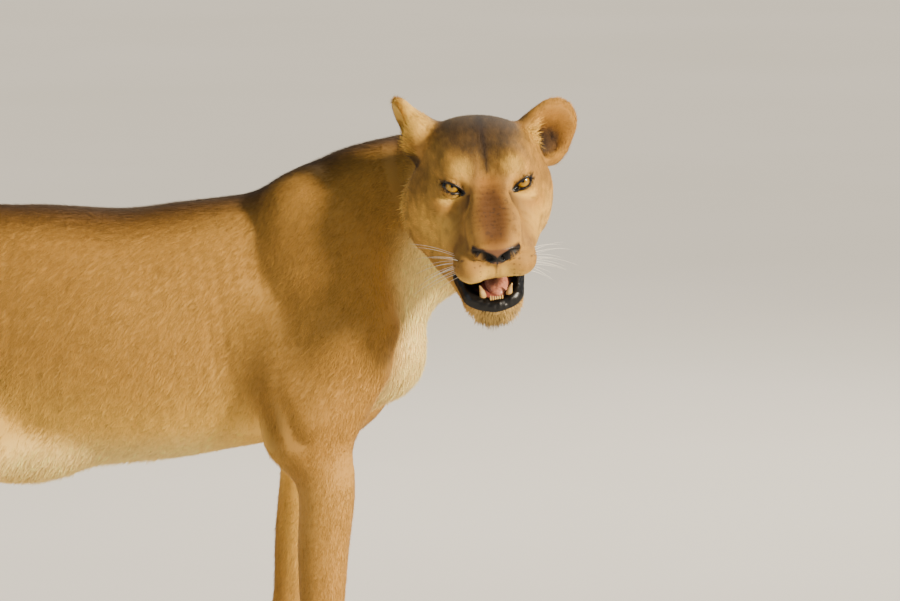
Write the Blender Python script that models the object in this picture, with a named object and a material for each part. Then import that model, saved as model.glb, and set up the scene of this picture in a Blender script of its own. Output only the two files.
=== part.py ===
"""A standing lioness, life size, as a museum would show her: still, with no joints.

Frame: metres, +X is the way the body faces, +Y its left, +Z up. The origin is on the floor, under
the middle of the animal's box. The outer surface is the tips of the coat.

The body is modelled whole, as a set of named masses that run softly into each other. The masses
are made as plain solids, joined by a voxel remesh, drawn onto the soft form that they describe, and
thinned. Cutters then part it into the pieces that a person would name, each cut a fine gap wide.
"""

import math
from dataclasses import dataclass, replace

import bmesh
import bpy
import numpy as np
from mathutils import Euler, Matrix, Vector

# ---- Driving sizes ----
GAP = 0.0006  # width of a cut between neighbouring pieces
EYE_RADIUS = 0.0185
HEAD_PLACE = (0.693, -0.210, 0.982)  # middle of the skull
HEAD_YAW = -76.5  # she looks round to her right
HEAD_PITCH = 15.0  # nose down
HEAD_ROLL = 4.0


# ---- Soft forms ----
def soft_join(first, second, blend):
    """The distance to two forms that run into each other over about the blend length."""
    share = np.clip(0.5 + 0.5 * (second - first) / blend, 0.0, 1.0)
    return second + (first - second) * share - blend * share * (1.0 - share)


def soft_cut(form, cutter, blend):
    """The distance to a form with a cutter taken out of it, its edge rounded by the blend."""
    return -soft_join(-form, cutter, blend)


def oval_distance(offsets, halves):
    """Roughly the distance to an ellipsoid, from offsets to its middle along its own axes."""
    near = np.sqrt(((offsets / halves) ** 2).sum(-1))
    slope = np.sqrt(((offsets / halves**2) ** 2).sum(-1))
    return near * (near - 1.0) / np.maximum(slope, 1e-6)


@dataclass(frozen=True)
class Ball:
    """An egg-shaped mass: middle, half sizes, turn about X, Y, Z in degrees, and blend."""

    middle: tuple
    halves: tuple
    turn: tuple = (0.0, 0.0, 0.0)
    blend: float = 0.02

    def frame(self):
        angles = [math.radians(a) for a in self.turn]
        return Matrix.Translation(self.middle) @ Euler(angles).to_matrix().to_4x4()

    def reach(self):
        """A ball that holds the mass: its middle and radius."""
        return np.array(self.middle), max(self.halves)

    def distance(self, points):
        turn = np.array(self.frame().to_3x3())
        return oval_distance((points - np.array(self.middle)) @ turn, np.array(self.halves))

    def add_to(self, mesh):
        size = Matrix.Diagonal((*self.halves, 1.0))
        bmesh.ops.create_icosphere(mesh, subdivisions=2, radius=1.0, matrix=self.frame() @ size)

    def mirrored(self):
        x, y, z = self.middle
        a, b, c = self.turn
        return replace(self, middle=(x, -y, z), turn=(-a, b, -c))


@dataclass(frozen=True)
class Limb:
    """A tapering tube with oval sections along a smooth line.

    A station is (x, y, z, half width, half depth), and the depth is measured along front.
    """

    stations: tuple
    front: tuple = (0.0, 0.0, 1.0)
    blend: float = 0.03
    cap: float = 0.8  # length of the rounded ends, as a share of the end's smaller half
    steps: int = 6

    def line(self):
        """The stations with smooth ones between them (Catmull-Rom)."""
        rows = np.array(self.stations, float)
        if len(rows) == 2:
            return rows
        padded = np.vstack([2 * rows[0] - rows[1], rows, 2 * rows[-1] - rows[-2]])
        dense = []
        for a, b, c, d in zip(padded, padded[1:], padded[2:], padded[3:]):
            for t in np.arange(self.steps) / self.steps:
                dense.append(
                    0.5 * (2 * b + (c - a) * t + (2 * a - 5 * b + 4 * c - d) * t**2
                           + (3 * b - a - 3 * c + d) * t**3)
                )
        dense.append(rows[-1])
        return np.array(dense)

    def reach(self):
        """A ball that holds the mass: its middle and radius."""
        rows = self.line()
        middle = (rows[:, :3].min(0) + rows[:, :3].max(0)) / 2
        away = np.linalg.norm(rows[:, :3] - middle, axis=1) + rows[:, 3:].max(1)
        return middle, 1.1 * away.max()

    def distance(self, points):
        """Measured to the two stretches of the line that meet at the station nearest each point."""
        rows = self.line()
        starts, ends = rows[:-1], rows[1:]
        runs = ends[:, :3] - starts[:, :3]
        lengths = np.linalg.norm(runs, axis=1)
        axes = runs / lengths[:, None]
        sides = np.cross(self.front, axes)
        sides /= np.linalg.norm(sides, axis=1, keepdims=True)
        depths = np.cross(axes, sides)
        spots = rows[:, :3]
        nearest = ((spots**2).sum(1) - 2 * points @ spots.T).argmin(1)
        found = np.full(len(points), np.inf)
        for pick in (np.maximum(nearest - 1, 0), np.minimum(nearest, len(runs) - 1)):
            away = points - starts[pick, :3]
            t = np.clip((away * axes[pick]).sum(1) / lengths[pick], 0.0, 1.0)
            away -= t[:, None] * runs[pick]
            width, depth = (starts[pick, 3:] + t[:, None] * (ends - starts)[pick, 3:]).T
            at_end = ((pick == 0) & (t == 0)) | ((pick == len(runs) - 1) & (t == 1))
            tip = np.where(at_end, self.cap * np.minimum(width, depth), 10.0)
            offsets = np.stack([(away * d[pick]).sum(1) for d in (axes, sides, depths)], 1)
            found = np.minimum(found, oval_distance(offsets, np.stack([tip, width, depth], 1)))
        return found

    def add_to(self, mesh, sides=12):
        rows = self.line()
        rings = []
        for i, row in enumerate(rows):
            run = rows[min(i + 1, len(rows) - 1)][:3] - rows[max(i - 1, 0)][:3]
            axis = run / np.linalg.norm(run)
            side = np.cross(self.front, axis)
            side /= np.linalg.norm(side)
            depth_axis = np.cross(axis, side)
            ring = []
            for k in range(sides):
                angle = 2 * math.pi * k / sides
                place = row[:3] + side * row[3] * math.cos(angle)
                ring.append(mesh.verts.new(place + depth_axis * row[4] * math.sin(angle)))
            rings.append(ring)
        for low, high in zip(rings, rings[1:]):
            for k in range(sides):
                n = (k + 1) % sides
                mesh.faces.new((low[k], low[n], high[n], high[k]))
        mesh.faces.new(rings[0][::-1])
        mesh.faces.new(rings[-1])

    def mirrored(self):
        return replace(self, stations=tuple((x, -y, z, w, d) for x, y, z, w, d in self.stations))


def both(*masses):
    """Masses of the right side, and their mirror images on the left."""
    return [m for mass in masses for m in (mass, mass.mirrored())]


def joined(masses, points):
    """The distance to several masses, each running into those before it."""
    total = np.full(len(points), 1.0)
    for mass in masses:
        middle, radius = mass.reach()
        away = np.linalg.norm(points - middle, axis=1) - radius
        close = np.flatnonzero(away < total + mass.blend)
        joint = soft_join(total[close], mass.distance(points[close]), mass.blend)
        total[close] = joint
    return total


# ---- The body's masses ----
TRUNK = [
    Limb(
        (
            (-0.545, 0, 0.795, 0.072, 0.080),  # seat
            (-0.500, 0, 0.785, 0.108, 0.125),  # pin bones
            (-0.420, 0, 0.762, 0.128, 0.172),  # hips
            (-0.270, 0, 0.724, 0.136, 0.200),  # loin
            (-0.100, 0, 0.694, 0.165, 0.226),  # belly
            (0.060, 0, 0.694, 0.176, 0.222),  # ribs
            (0.200, 0, 0.716, 0.158, 0.218),  # girth
            (0.340, 0, 0.738, 0.128, 0.212),  # shoulders
            (0.440, 0, 0.750, 0.110, 0.188),  # breast
            (0.490, 0, 0.755, 0.090, 0.140),
        )
    ),
    # Neck, bent round to her right
    Limb(
        (
            (0.390, 0.000, 0.840, 0.100, 0.150),
            (0.480, 0.000, 0.878, 0.114, 0.156),
            (0.570, 0.006, 0.912, 0.100, 0.145),
            (0.640, -0.040, 0.945, 0.090, 0.130),
            (0.672, -0.110, 0.962, 0.080, 0.105),
        ),
        blend=0.06,
    ),
    # Belly pouch and the skin fold before each knee
    *both(
        Ball((-0.130, -0.060, 0.500), (0.128, 0.075, 0.060), blend=0.045),
        Limb(((-0.16, -0.120, 0.53, 0.03, 0.06), (-0.30, -0.130, 0.53, 0.035, 0.06)), blend=0.05),
    ),
    Ball((0.485, 0, 0.668), (0.080, 0.085, 0.085), blend=0.04),  # point of the breast
]


def foreleg(side, step):
    """One foreleg: side is -1 for her right, and step moves the foot forward."""
    lean = [0.0, 0.3, 0.7, 0.8, 0.87, 0.95, 1.0, 1.0]

    def at(x, y, z, w, d, k):
        return (x + step * lean[k], side * y, z, w, d)

    return [
        Limb(
            (
                at(0.350, 0.066, 0.962, 0.032, 0.048, 0),  # top of the shoulder blade
                at(0.405, 0.106, 0.840, 0.046, 0.085, 0),
                at(0.455, 0.122, 0.710, 0.056, 0.090, 0),  # point of the shoulder
            ),
            front=(1, 0, 0),
            blend=0.045,
        ),
        Limb(
            (
                at(0.450, 0.122, 0.690, 0.056, 0.085, 0),
                at(0.395, 0.128, 0.600, 0.060, 0.090, 0),
                at(0.362, 0.126, 0.530, 0.050, 0.062, 1),  # elbow
            ),
            front=(1, 0, 0),
            blend=0.045,
        ),
        Ball((0.330, side * 0.110, 0.665), (0.060, 0.045, 0.120), (0, -20, 0), blend=0.05),
        Limb(
            (
                at(0.380, 0.126, 0.560, 0.050, 0.072, 1),
                at(0.412, 0.126, 0.465, 0.047, 0.053, 2),
                at(0.407, 0.124, 0.350, 0.041, 0.047, 3),
                at(0.405, 0.122, 0.240, 0.037, 0.041, 4),
                at(0.408, 0.120, 0.185, 0.041, 0.044, 5),  # wrist
                at(0.415, 0.120, 0.110, 0.041, 0.038, 6),
                at(0.432, 0.120, 0.055, 0.048, 0.040, 7),
            ),
            front=(1, 0, 0),
            blend=0.035,
        ),
        *paw((0.437 + step, side * 0.120), width=0.116, length=0.134),
    ]


def hindleg(side, step):
    """One hind leg, its foot moved forward by step."""
    lean = [0.0, 0.0, 0.1, 0.3, 0.5, 0.75, 0.9, 1.0, 1.0]

    def at(x, y, z, w, d, k):
        return (x + step * lean[k], side * y, z, w, d)

    return [
        Limb(
            (
                at(-0.455, 0.085, 0.800, 0.050, 0.095, 0),  # hip
                at(-0.425, 0.105, 0.690, 0.062, 0.125, 1),
                at(-0.370, 0.122, 0.570, 0.062, 0.100, 2),
                at(-0.325, 0.130, 0.500, 0.050, 0.062, 2),  # knee
            ),
            front=(1, 0, 0),
            blend=0.05,
        ),
        Ball((-0.488 + 0.1 * step, side * 0.085, 0.665), (0.066, 0.050, 0.145), (0, -18, 0), blend=0.06),
        Limb(
            (
                at(-0.335, 0.130, 0.520, 0.048, 0.060, 2),
                at(-0.415, 0.128, 0.430, 0.046, 0.064, 3),
                at(-0.500, 0.124, 0.335, 0.035, 0.045, 4),
                at(-0.560, 0.120, 0.262, 0.031, 0.042, 5),  # hock
                at(-0.565, 0.120, 0.200, 0.029, 0.034, 6),
                at(-0.548, 0.120, 0.120, 0.031, 0.031, 7),
                at(-0.530, 0.120, 0.055, 0.042, 0.036, 8),
            ),
            front=(1, 0, 0),
            blend=0.035,
        ),
        Ball((-0.588 + 0.75 * step, side * 0.120, 0.282), (0.020, 0.018, 0.034), (0, -25, 0), blend=0.02),
        *paw((-0.520 + step, side * 0.120), width=0.102, length=0.124),
    ]


def paw(place, width, length):
    """Heel pad and four toes, the two middle ones ahead of the others."""
    x, y = place
    masses = [
        Ball((x + 0.10 * length, y, 0.030), (0.40 * length, 0.44 * width, 0.034), blend=0.02),
        Ball((x, y, 0.016), (0.30 * length, 0.34 * width, 0.026), blend=0.015),
    ]
    for across, ahead, out in ((-0.37, 0.30, 8), (-0.125, 0.43, 3), (0.125, 0.43, -3), (0.37, 0.30, -8)):
        masses.append(
            Ball(
                (x + ahead * length, y + across * width, 0.021),
                (0.26 * length, 0.145 * width, 0.027),
                (0, 8, -out),
                blend=0.008,
            )
        )
    return masses


TAIL = [
    Limb(
        (
            (-0.570, 0.000, 0.850, 0.036, 0.040),
            (-0.650, 0.000, 0.822, 0.030, 0.031),
            (-0.718, 0.000, 0.735, 0.026, 0.027),
            (-0.750, 0.004, 0.600, 0.024, 0.025),
            (-0.762, 0.012, 0.450, 0.023, 0.023),
            (-0.775, 0.024, 0.320, 0.022, 0.022),
            (-0.808, 0.040, 0.225, 0.023, 0.023),
            (-0.856, 0.050, 0.175, 0.033, 0.033),  # tuft
            (-0.905, 0.058, 0.155, 0.020, 0.020),
        ),
        front=(1, 0, 0),
        blend=0.04,
        cap=1.6,
    )
]

# ---- The head, in its own frame: +X to the nose, +Y her left, +Z the crown ----
EYE = (0.064, -0.0585, 0.027)  # the right eye's middle
HEAD = [
    Ball((-0.045, 0, 0.026), (0.100, 0.095, 0.076), (-8, 0, 0)),  # skull
    Ball((-0.020, -0.042, 0.042), (0.080, 0.050, 0.050), (0, 12, 0), blend=0.03),
    Ball((-0.020, 0.040, 0.028), (0.080, 0.050, 0.048), (0, 12, 0), blend=0.03),
    *both(Ball((0.050, -0.046, 0.048), (0.036, 0.030, 0.020), (0, 25, 12), blend=0.03)),  # brows
    *both(
        Limb(
            (
                (0.020, -0.021, 0.034, 0.028, 0.034),
                (0.090, -0.020, 0.000, 0.027, 0.034),
                (0.148, -0.020, -0.032, 0.027, 0.029),
                (0.172, -0.016, -0.046, 0.020, 0.021),
            ),
            blend=0.025,
        )
    ),  # bridge of the nose
    Ball((0.095, 0, -0.060), (0.090, 0.060, 0.048), (0, 14, 0), blend=0.02),  # upper jaw
    Ball((0.020, -0.083, -0.008), (0.060, 0.034, 0.042), (0, 0, 15), blend=0.03),  # cheekbones
    Ball((0.020, 0.073, -0.008), (0.060, 0.034, 0.042), (0, 0, -15), blend=0.03),
    *both(
        Limb(
            (
                (-0.030, -0.080, -0.030, 0.030, 0.055),
                (0.040, -0.066, -0.045, 0.028, 0.048),
                (0.110, -0.044, -0.072, 0.024, 0.034),
            ),
            blend=0.025,
        ),  # cheek
    ),
    Ball((0.147, -0.037, -0.077), (0.043, 0.034, 0.034), (0, 8, -12), blend=0.014),  # lip pads
    Ball((0.147, 0.036, -0.071), (0.043, 0.034, 0.031), (0, 8, 12), blend=0.014),
    Ball((-0.055, -0.090, -0.056), (0.072, 0.048, 0.072), (0, -10, 5), blend=0.04),  # jowls
    Ball((-0.050, 0.067, -0.046), (0.075, 0.042, 0.068), (0, -10, -5), blend=0.04),
    Limb(
        (
            (-0.030, -0.090, -0.070, 0.030, 0.040),
            (0.030, -0.072, -0.106, 0.026, 0.034),
            (0.066, -0.056, -0.120, 0.018, 0.026),
        ),
        blend=0.03,
    ),  # hanging skin from the jowl to the mouth's corner
    Ball((0.171, 0, -0.046), (0.023, 0.037, 0.022), (0, 20, 0), blend=0.012),  # nose
    Ball((-0.085, 0, -0.035), (0.085, 0.090, 0.090), blend=0.04),  # nape and throat
]
JAW = [
    Ball((0.116, -0.003, -0.166), (0.037, 0.047, 0.034), blend=0.015),  # chin
    Ball((0.035, 0, -0.138), (0.085, 0.050, 0.034), (0, 14, 0), blend=0.02),
    Ball((-0.030, 0, -0.115), (0.065, 0.058, 0.045), blend=0.03),  # throat
    Limb(
        (
            (-0.020, -0.058, -0.088, 0.024, 0.038),
            (0.060, -0.053, -0.126, 0.021, 0.030),
            (0.122, -0.032, -0.150, 0.022, 0.024),
        ),
        blend=0.02,
    ),  # right side
    Limb(
        (
            (-0.020, 0.050, -0.088, 0.024, 0.038),
            (0.060, 0.037, -0.126, 0.021, 0.030),
            (0.122, 0.024, -0.150, 0.022, 0.024),
        ),
        blend=0.02,
    ),  # left side
]
SOCKET = Ball((0.100, -0.062, 0.020), (0.032, 0.026, 0.017), (0, 20, 0), blend=0.012)
MOUTH = Ball((0.133, -0.006, -0.122), (0.088, 0.046, 0.021), (0, 12, 0), blend=0.008)

EAR_SHELL = Ball((-0.004, 0.031, 0.034), (0.023, 0.046, 0.050), blend=0.014)
EAR_LOBE = Ball((-0.004, 0.030, -0.010), (0.021, 0.037, 0.034), (20, 0, 0), blend=0.020)
EAR_STALK = Ball((-0.012, 0.002, 0.006), (0.036, 0.034, 0.042), blend=0.025)
EAR_HOLLOW = Ball((0.021, 0.031, 0.031), (0.027, 0.036, 0.041), blend=0.010)


def ear_frame(place, lean, turn):
    """The frame of an ear: +Z up, +X out of its opening, +Y away from the head's middle."""
    side = math.copysign(1, place[1])
    frame = Matrix.Translation(place) @ Matrix.Rotation(math.radians(-lean * side), 4, "X")
    return frame @ Matrix.Rotation(math.radians(turn * side), 4, "Z") @ Matrix.Diagonal((1, side, 1, 1))


LEFT_EAR = ear_frame((-0.075, 0.089, 0.040), 11, 8)
RIGHT_EAR = ear_frame((-0.072, -0.100, 0.052), 20, 76)


def head_frame():
    """Where the head stands on the neck."""
    turn = Euler([math.radians(a) for a in (HEAD_ROLL, HEAD_PITCH, HEAD_YAW)]).to_matrix()
    return Matrix.Translation(HEAD_PLACE) @ turn.to_4x4()


def into(frame, points):
    """World points in a frame's own coordinates."""
    back = np.array(frame.inverted())
    return points @ back[:3, :3].T + back[:3, 3]


def ear_form(points, frame):
    local = into(frame, points)
    shell = soft_join(EAR_SHELL.distance(local), EAR_LOBE.distance(local), EAR_LOBE.blend)
    shell = soft_join(shell, EAR_STALK.distance(local), EAR_STALK.blend)
    return soft_cut(shell, EAR_HOLLOW.distance(local), EAR_HOLLOW.blend)


def head_form(points):
    """The distance to the head, from points in its own frame."""
    form = soft_join(joined(HEAD, points), joined(JAW, points), 0.012)
    for frame in (LEFT_EAR, RIGHT_EAR):
        form = soft_join(form, ear_form(points, frame), 0.018)
    for cutter in (*both(SOCKET), MOUTH):
        form = soft_cut(form, cutter.distance(points), cutter.blend)
    return form


BODY = [
    *TRUNK,
    *foreleg(-1, 0.0),
    *foreleg(1, -0.10),
    *hindleg(-1, 0.0),
    *hindleg(1, 0.09),
    *TAIL,
]


def whole_form(points):
    """The distance to the whole lioness."""
    body = joined(BODY, points)
    return soft_join(body, head_form(into(head_frame(), points)), 0.016)


# ---- Meshes ----
def new_object(name, mesh):
    """Adds a mesh to the scene under a name."""
    shape = bpy.data.objects.new(name, mesh)
    bpy.context.scene.collection.objects.link(shape)
    return shape


def baked(shape):
    """The object with its modifiers worked into its mesh."""
    graph = bpy.context.evaluated_depsgraph_get()
    mesh = bpy.data.meshes.new_from_object(shape.evaluated_get(graph))
    shape.modifiers.clear()
    shape.data = mesh
    return shape


def rough_shape(name, placed):
    """The plain solids of some masses, each in its own frame, in one object."""
    whole = bmesh.new()
    for mass, frame in placed:
        piece = bmesh.new()
        mass.add_to(piece)
        bmesh.ops.transform(piece, matrix=frame, verts=piece.verts)
        bmesh.ops.recalc_face_normals(piece, faces=piece.faces)
        mesh = bpy.data.meshes.new(name)
        piece.to_mesh(mesh)
        piece.free()
        whole.from_mesh(mesh)
    mesh = bpy.data.meshes.new(name)
    whole.to_mesh(mesh)
    whole.free()
    return new_object(name, mesh)


def remeshed(shape, voxel):
    """The object joined to one closed skin of even faces."""
    remesh = shape.modifiers.new("one_skin", "REMESH")
    remesh.mode = "VOXEL"
    remesh.voxel_size = voxel
    return baked(shape)


def settle(shape, form, passes):
    """Draws every point of the object onto the soft form, and evens the faces out on the way."""
    mesh = shape.data
    nudge = 0.0005 * np.array(((1, 1, 1), (1, -1, -1), (-1, 1, -1), (-1, -1, 1)), float)
    for _ in range(passes):
        smooth = bmesh.new()
        smooth.from_mesh(mesh)
        bmesh.ops.smooth_vert(
            smooth, verts=smooth.verts, factor=0.5, use_axis_x=True, use_axis_y=True, use_axis_z=True
        )
        smooth.to_mesh(mesh)
        smooth.free()
        points = np.empty(len(mesh.vertices) * 3)
        mesh.vertices.foreach_get("co", points)
        points = points.reshape(-1, 3)
        corners = [form(points + step) for step in nudge]
        value = sum(corners) / 4
        slope = sum(c[:, None] * step for c, step in zip(corners, nudge))
        slope /= np.linalg.norm(slope, axis=1, keepdims=True) + 1e-12
        points -= slope * np.clip(value, -0.03, 0.03)[:, None]
        mesh.vertices.foreach_set("co", points.ravel())
    mesh.update()
    return shape


def sculpted(name, placed, form, voxel, rounds, triangles):
    """A closed skin on the form, thinned to about so many triangles."""
    shape = remeshed(rough_shape(name, placed), voxel)
    for _ in range(rounds):
        remeshed(settle(shape, form, 3), voxel)
    settle(shape, form, 3)
    thin = shape.modifiers.new("thin", "DECIMATE")
    thin.ratio = triangles / (2 * len(shape.data.polygons))
    return baked(shape)


# ---- Parting into pieces ----
def combined(shape, other, operation):
    """The object joined with, cut by or kept within another."""
    cut = shape.modifiers.new("cut", "BOOLEAN")
    cut.operation = operation
    cut.solver = "EXACT"
    cut.object = other
    return baked(shape)


def copy_of(shape, name):
    return new_object(name, shape.data.copy())


def grown(shape, distance):
    """A copy of a rounded helper with every point moved out along its normal."""
    copy = copy_of(shape, "grown")
    for vertex in copy.data.vertices:
        vertex.co += vertex.normal * distance
    return copy


def block(frame, low, high):
    """A box between two corners, in a frame."""
    mesh = bmesh.new()
    bmesh.ops.create_cube(mesh, size=1.0)
    size = Vector(high) - Vector(low)
    place = Matrix.Translation((Vector(low) + Vector(high)) / 2) @ Matrix.Diagonal((*size, 1.0))
    bmesh.ops.transform(mesh, matrix=frame @ place, verts=mesh.verts)
    data = bpy.data.meshes.new("block")
    mesh.to_mesh(data)
    mesh.free()
    return new_object("block", data)


def oval(frame, ball):
    """The solid of one egg-shaped mass, in a frame."""
    return rough_shape("oval", [(ball, frame)])


def drop(*shapes):
    for shape in shapes:
        bpy.data.objects.remove(shape)


def part_off(whole, cutter, name):
    """Cuts the piece inside the cutter off the whole, leaving a fine gap, and returns it."""
    piece = combined(copy_of(whole, name), cutter, "INTERSECT")
    wider = grown(cutter, GAP)
    combined(whole, wider, "DIFFERENCE")
    drop(cutter, wider)
    return piece


# ---- The mouth's small parts, in the head's frame ----
TONGUE = Ball((0.096, 0, -0.135), (0.037, 0.018, 0.012), (0, 14, 0))
CANINE = Limb(
    ((0.131, -0.021, -0.154, 0.0055, 0.0055), (0.136, -0.023, -0.136, 0.0042, 0.0046),
     (0.139, -0.027, -0.122, 0.0012, 0.0012)),
    front=(1, 0, 0),
    steps=2,
)
INCISORS = [
    Limb(((0.141, -0.0105, -0.149, 0.0030, 0.0040), (0.141, 0.0105, -0.149, 0.0030, 0.0040))),
    *(Ball((0.142, y, -0.142), (0.0024, 0.0021, 0.0070)) for y in (-0.0095, -0.0057, -0.0019)),
    *(Ball((0.142, y, -0.142), (0.0024, 0.0021, 0.0070)) for y in (0.0019, 0.0057, 0.0095)),
]

COAT_TAN = (0.52, 0.33, 0.16)
COAT_PALE = (0.72, 0.58, 0.40)
FINISHES = {
    "head": COAT_TAN,
    "jaw": COAT_PALE,
    "nose": (0.16, 0.09, 0.075),
    "ear_left": COAT_TAN,
    "ear_right": COAT_TAN,
    "eye_left": (0.50, 0.30, 0.05),
    "eye_right": (0.50, 0.30, 0.05),
    "tongue": (0.55, 0.25, 0.24),
    "canine_left": (0.80, 0.68, 0.42),
    "canine_right": (0.80, 0.68, 0.42),
    "incisors": (0.82, 0.74, 0.55),
    "belly": COAT_PALE,
    "tail_tuft": (0.10, 0.07, 0.05),
}


def head_pieces(head_frame_now):
    """The head, finer than the rest, parted into its own pieces."""
    placed = [(mass, head_frame_now) for mass in (*HEAD, *JAW)]
    for ear in (LEFT_EAR, RIGHT_EAR):
        placed += [(mass, head_frame_now @ ear) for mass in (EAR_SHELL, EAR_LOBE, EAR_STALK)]
    placed.append((TRUNK[1], Matrix.Identity(4)))
    head = sculpted("head", placed, whole_form, 0.0055, 1, 4000)
    behind = head_block(head_frame_now)
    combined(head, behind, "INTERSECT")
    drop(behind)

    pieces = [head]
    for name, side in (("eye_right", 1), ("eye_left", -1)):
        place = head_frame_now @ Matrix.Translation((EYE[0], side * EYE[1], EYE[2]))
        mesh = bmesh.new()
        bmesh.ops.create_uvsphere(mesh, u_segments=14, v_segments=8, radius=EYE_RADIUS, matrix=place)
        data = bpy.data.meshes.new(name)
        mesh.to_mesh(data)
        mesh.free()
        eye = new_object(name, data)
        wider = grown(eye, GAP)
        combined(head, wider, "DIFFERENCE")
        drop(wider)
        pieces.append(eye)

    for name, ear in (("ear_left", LEFT_EAR), ("ear_right", RIGHT_EAR)):
        around = oval(head_frame_now @ ear, Ball((-0.004, 0.036, 0.028), (0.060, 0.056, 0.078)))
        pieces.append(part_off(head, around, name))
    leather = Ball((0.198, 0, -0.046), (0.024, 0.043, 0.028))
    pieces.append(part_off(head, oval(head_frame_now, leather), "nose"))

    corner = head_frame_now @ Matrix.Translation((0.052, 0, -0.108))
    below = block(
        corner @ Matrix.Rotation(math.radians(12), 4, "Y"), (0.0, -0.2, -0.2), (0.3, 0.2, 0.0)
    )
    jaw = part_off(head, below, "jaw")
    pieces.append(jaw)
    small = [("tongue", [TONGUE], 0.0025, 140), ("incisors", INCISORS, 0.0009, 260)]
    small += [("canine_right", [CANINE], 0.0, 0), ("canine_left", [CANINE.mirrored()], 0.0, 0)]
    for name, masses, voxel, triangles in small:
        shape = rough_shape(name, [(mass, head_frame_now) for mass in masses])
        if voxel:
            remeshed(shape, voxel)
            thin = shape.modifiers.new("thin", "DECIMATE")
            thin.ratio = triangles / (2 * len(shape.data.polygons))
            baked(shape)
        wider = grown(shape, GAP)
        combined(jaw, wider, "DIFFERENCE")
        drop(wider)
        pieces.append(shape)
    return pieces


def head_block(head_frame_now):
    """All that lies in front of the cut between the head and the neck."""
    slant = head_frame_now @ Matrix.Rotation(math.radians(-22), 4, "Y")
    return block(slant, (-0.105, -0.3, -0.35), (0.4, 0.3, 0.35))


def body_pieces(head_frame_now):
    """All behind the head, parted where a person would name it."""
    home = Matrix.Identity(4)
    placed = [(mass, home) for mass in BODY]
    placed += [(mass, head_frame_now) for mass in HEAD[:6]]
    body = sculpted("chest", placed, whole_form, 0.013, 1, 2900)
    ahead = head_block(head_frame_now)
    under = block(home, (-2, -1, -1), (2, 1, 0))
    for cutter in (grown(ahead, GAP), under):
        combined(body, cutter, "DIFFERENCE")
        drop(cutter)
    drop(ahead)

    slant = Matrix.Rotation(math.radians(-25), 4, "Y")
    pieces = [
        part_off(body, block(slant, (0.7515, -1, -1), (2, 1, 1)), "neck"),
        part_off(body, block(home, (-2, -0.085, 0.1), (-0.83, 0.2, 0.4)), "tail_tuft"),
        part_off(body, block(home, (-2, -0.085, -0.1), (-0.605, 0.2, 0.43)), "tail_lower"),
        part_off(body, block(home, (-2, -0.085, -0.1), (-0.605, 0.2, 0.68)), "tail_middle"),
        part_off(body, block(home, (-2, -0.085, -0.1), (-0.605, 0.2, 1.2)), "tail_root"),
    ]
    for side, name in ((-1, "right"), (1, "left")):
        near, far = sorted((0.0, 0.4 * side))
        front, back = (0.22, 0.7), (-0.9, -0.262)
        for piece, (low, high), top in (
            ("forepaw_", front, 0.10),
            ("foreleg_", front, 0.485),
            ("hindpaw_", back, 0.10),
            ("hock_", back, 0.27),
            ("shank_", back, 0.455),
        ):
            around = block(home, (low, near, -0.1), (high, far, top))
            pieces.append(part_off(body, around, piece + name))
        shoulder = Ball((0.405, side * 0.19, 0.735), (0.105, 0.105, 0.235))
        thigh = Ball((-0.425, side * 0.18, 0.625), (0.150, 0.115, 0.200), (0, -12, 0))
        pieces.append(part_off(body, oval(home, shoulder), "shoulder_" + name))
        pieces.append(part_off(body, oval(home, thigh), "thigh_" + name))
    pieces.append(part_off(body, block(home, (-2, -1, -1), (-0.300, 1, 2)), "rump"))
    pieces.append(part_off(body, block(home, (-0.3, -1, -1), (0.150, 1, 2)), "belly"))
    pieces.append(body)
    return pieces


def finish(piece):
    """Gives a piece its own material."""
    colour = FINISHES.get(piece.name, COAT_TAN)
    material = bpy.data.materials.new(piece.name)
    material.use_nodes = True
    shader = material.node_tree.nodes["Principled BSDF"]
    shader.inputs["Base Color"].default_value = (*colour, 1.0)
    wet = piece.name.startswith(("eye", "tongue", "canine", "incisors"))
    shader.inputs["Roughness"].default_value = 0.25 if wet else 0.8
    piece.data.materials.clear()
    piece.data.materials.append(material)


def main():
    for found in list(bpy.data.objects):
        bpy.data.objects.remove(found)
    head = head_frame()
    pieces = head_pieces(head) + body_pieces(head)
    corners = np.array([vertex.co for piece in pieces for vertex in piece.data.vertices])
    low, high = corners.min(0), corners.max(0)
    home = Matrix.Translation((-(low[0] + high[0]) / 2, -(low[1] + high[1]) / 2, 0.0))
    for piece in pieces:
        piece.data.transform(home)
        finish(piece)


if __name__ == "__main__":
    main()
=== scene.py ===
"""A standing lioness, life size: one skin under a coat of fine tufts, with her eyes, teeth and claws.

Frame: metres, +X is the way the body faces, +Y its left, +Z up. The forms are worked out in the
animal's own frame and moved into the model's frame when each piece is finished.
"""

import logging
import math
import sys
from dataclasses import dataclass, fields, replace
from enum import Enum, IntEnum
from typing import Callable, ClassVar, Optional, Sequence, Union

import bpy
import numpy as np
from mathutils import Euler, Matrix, Vector

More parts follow.
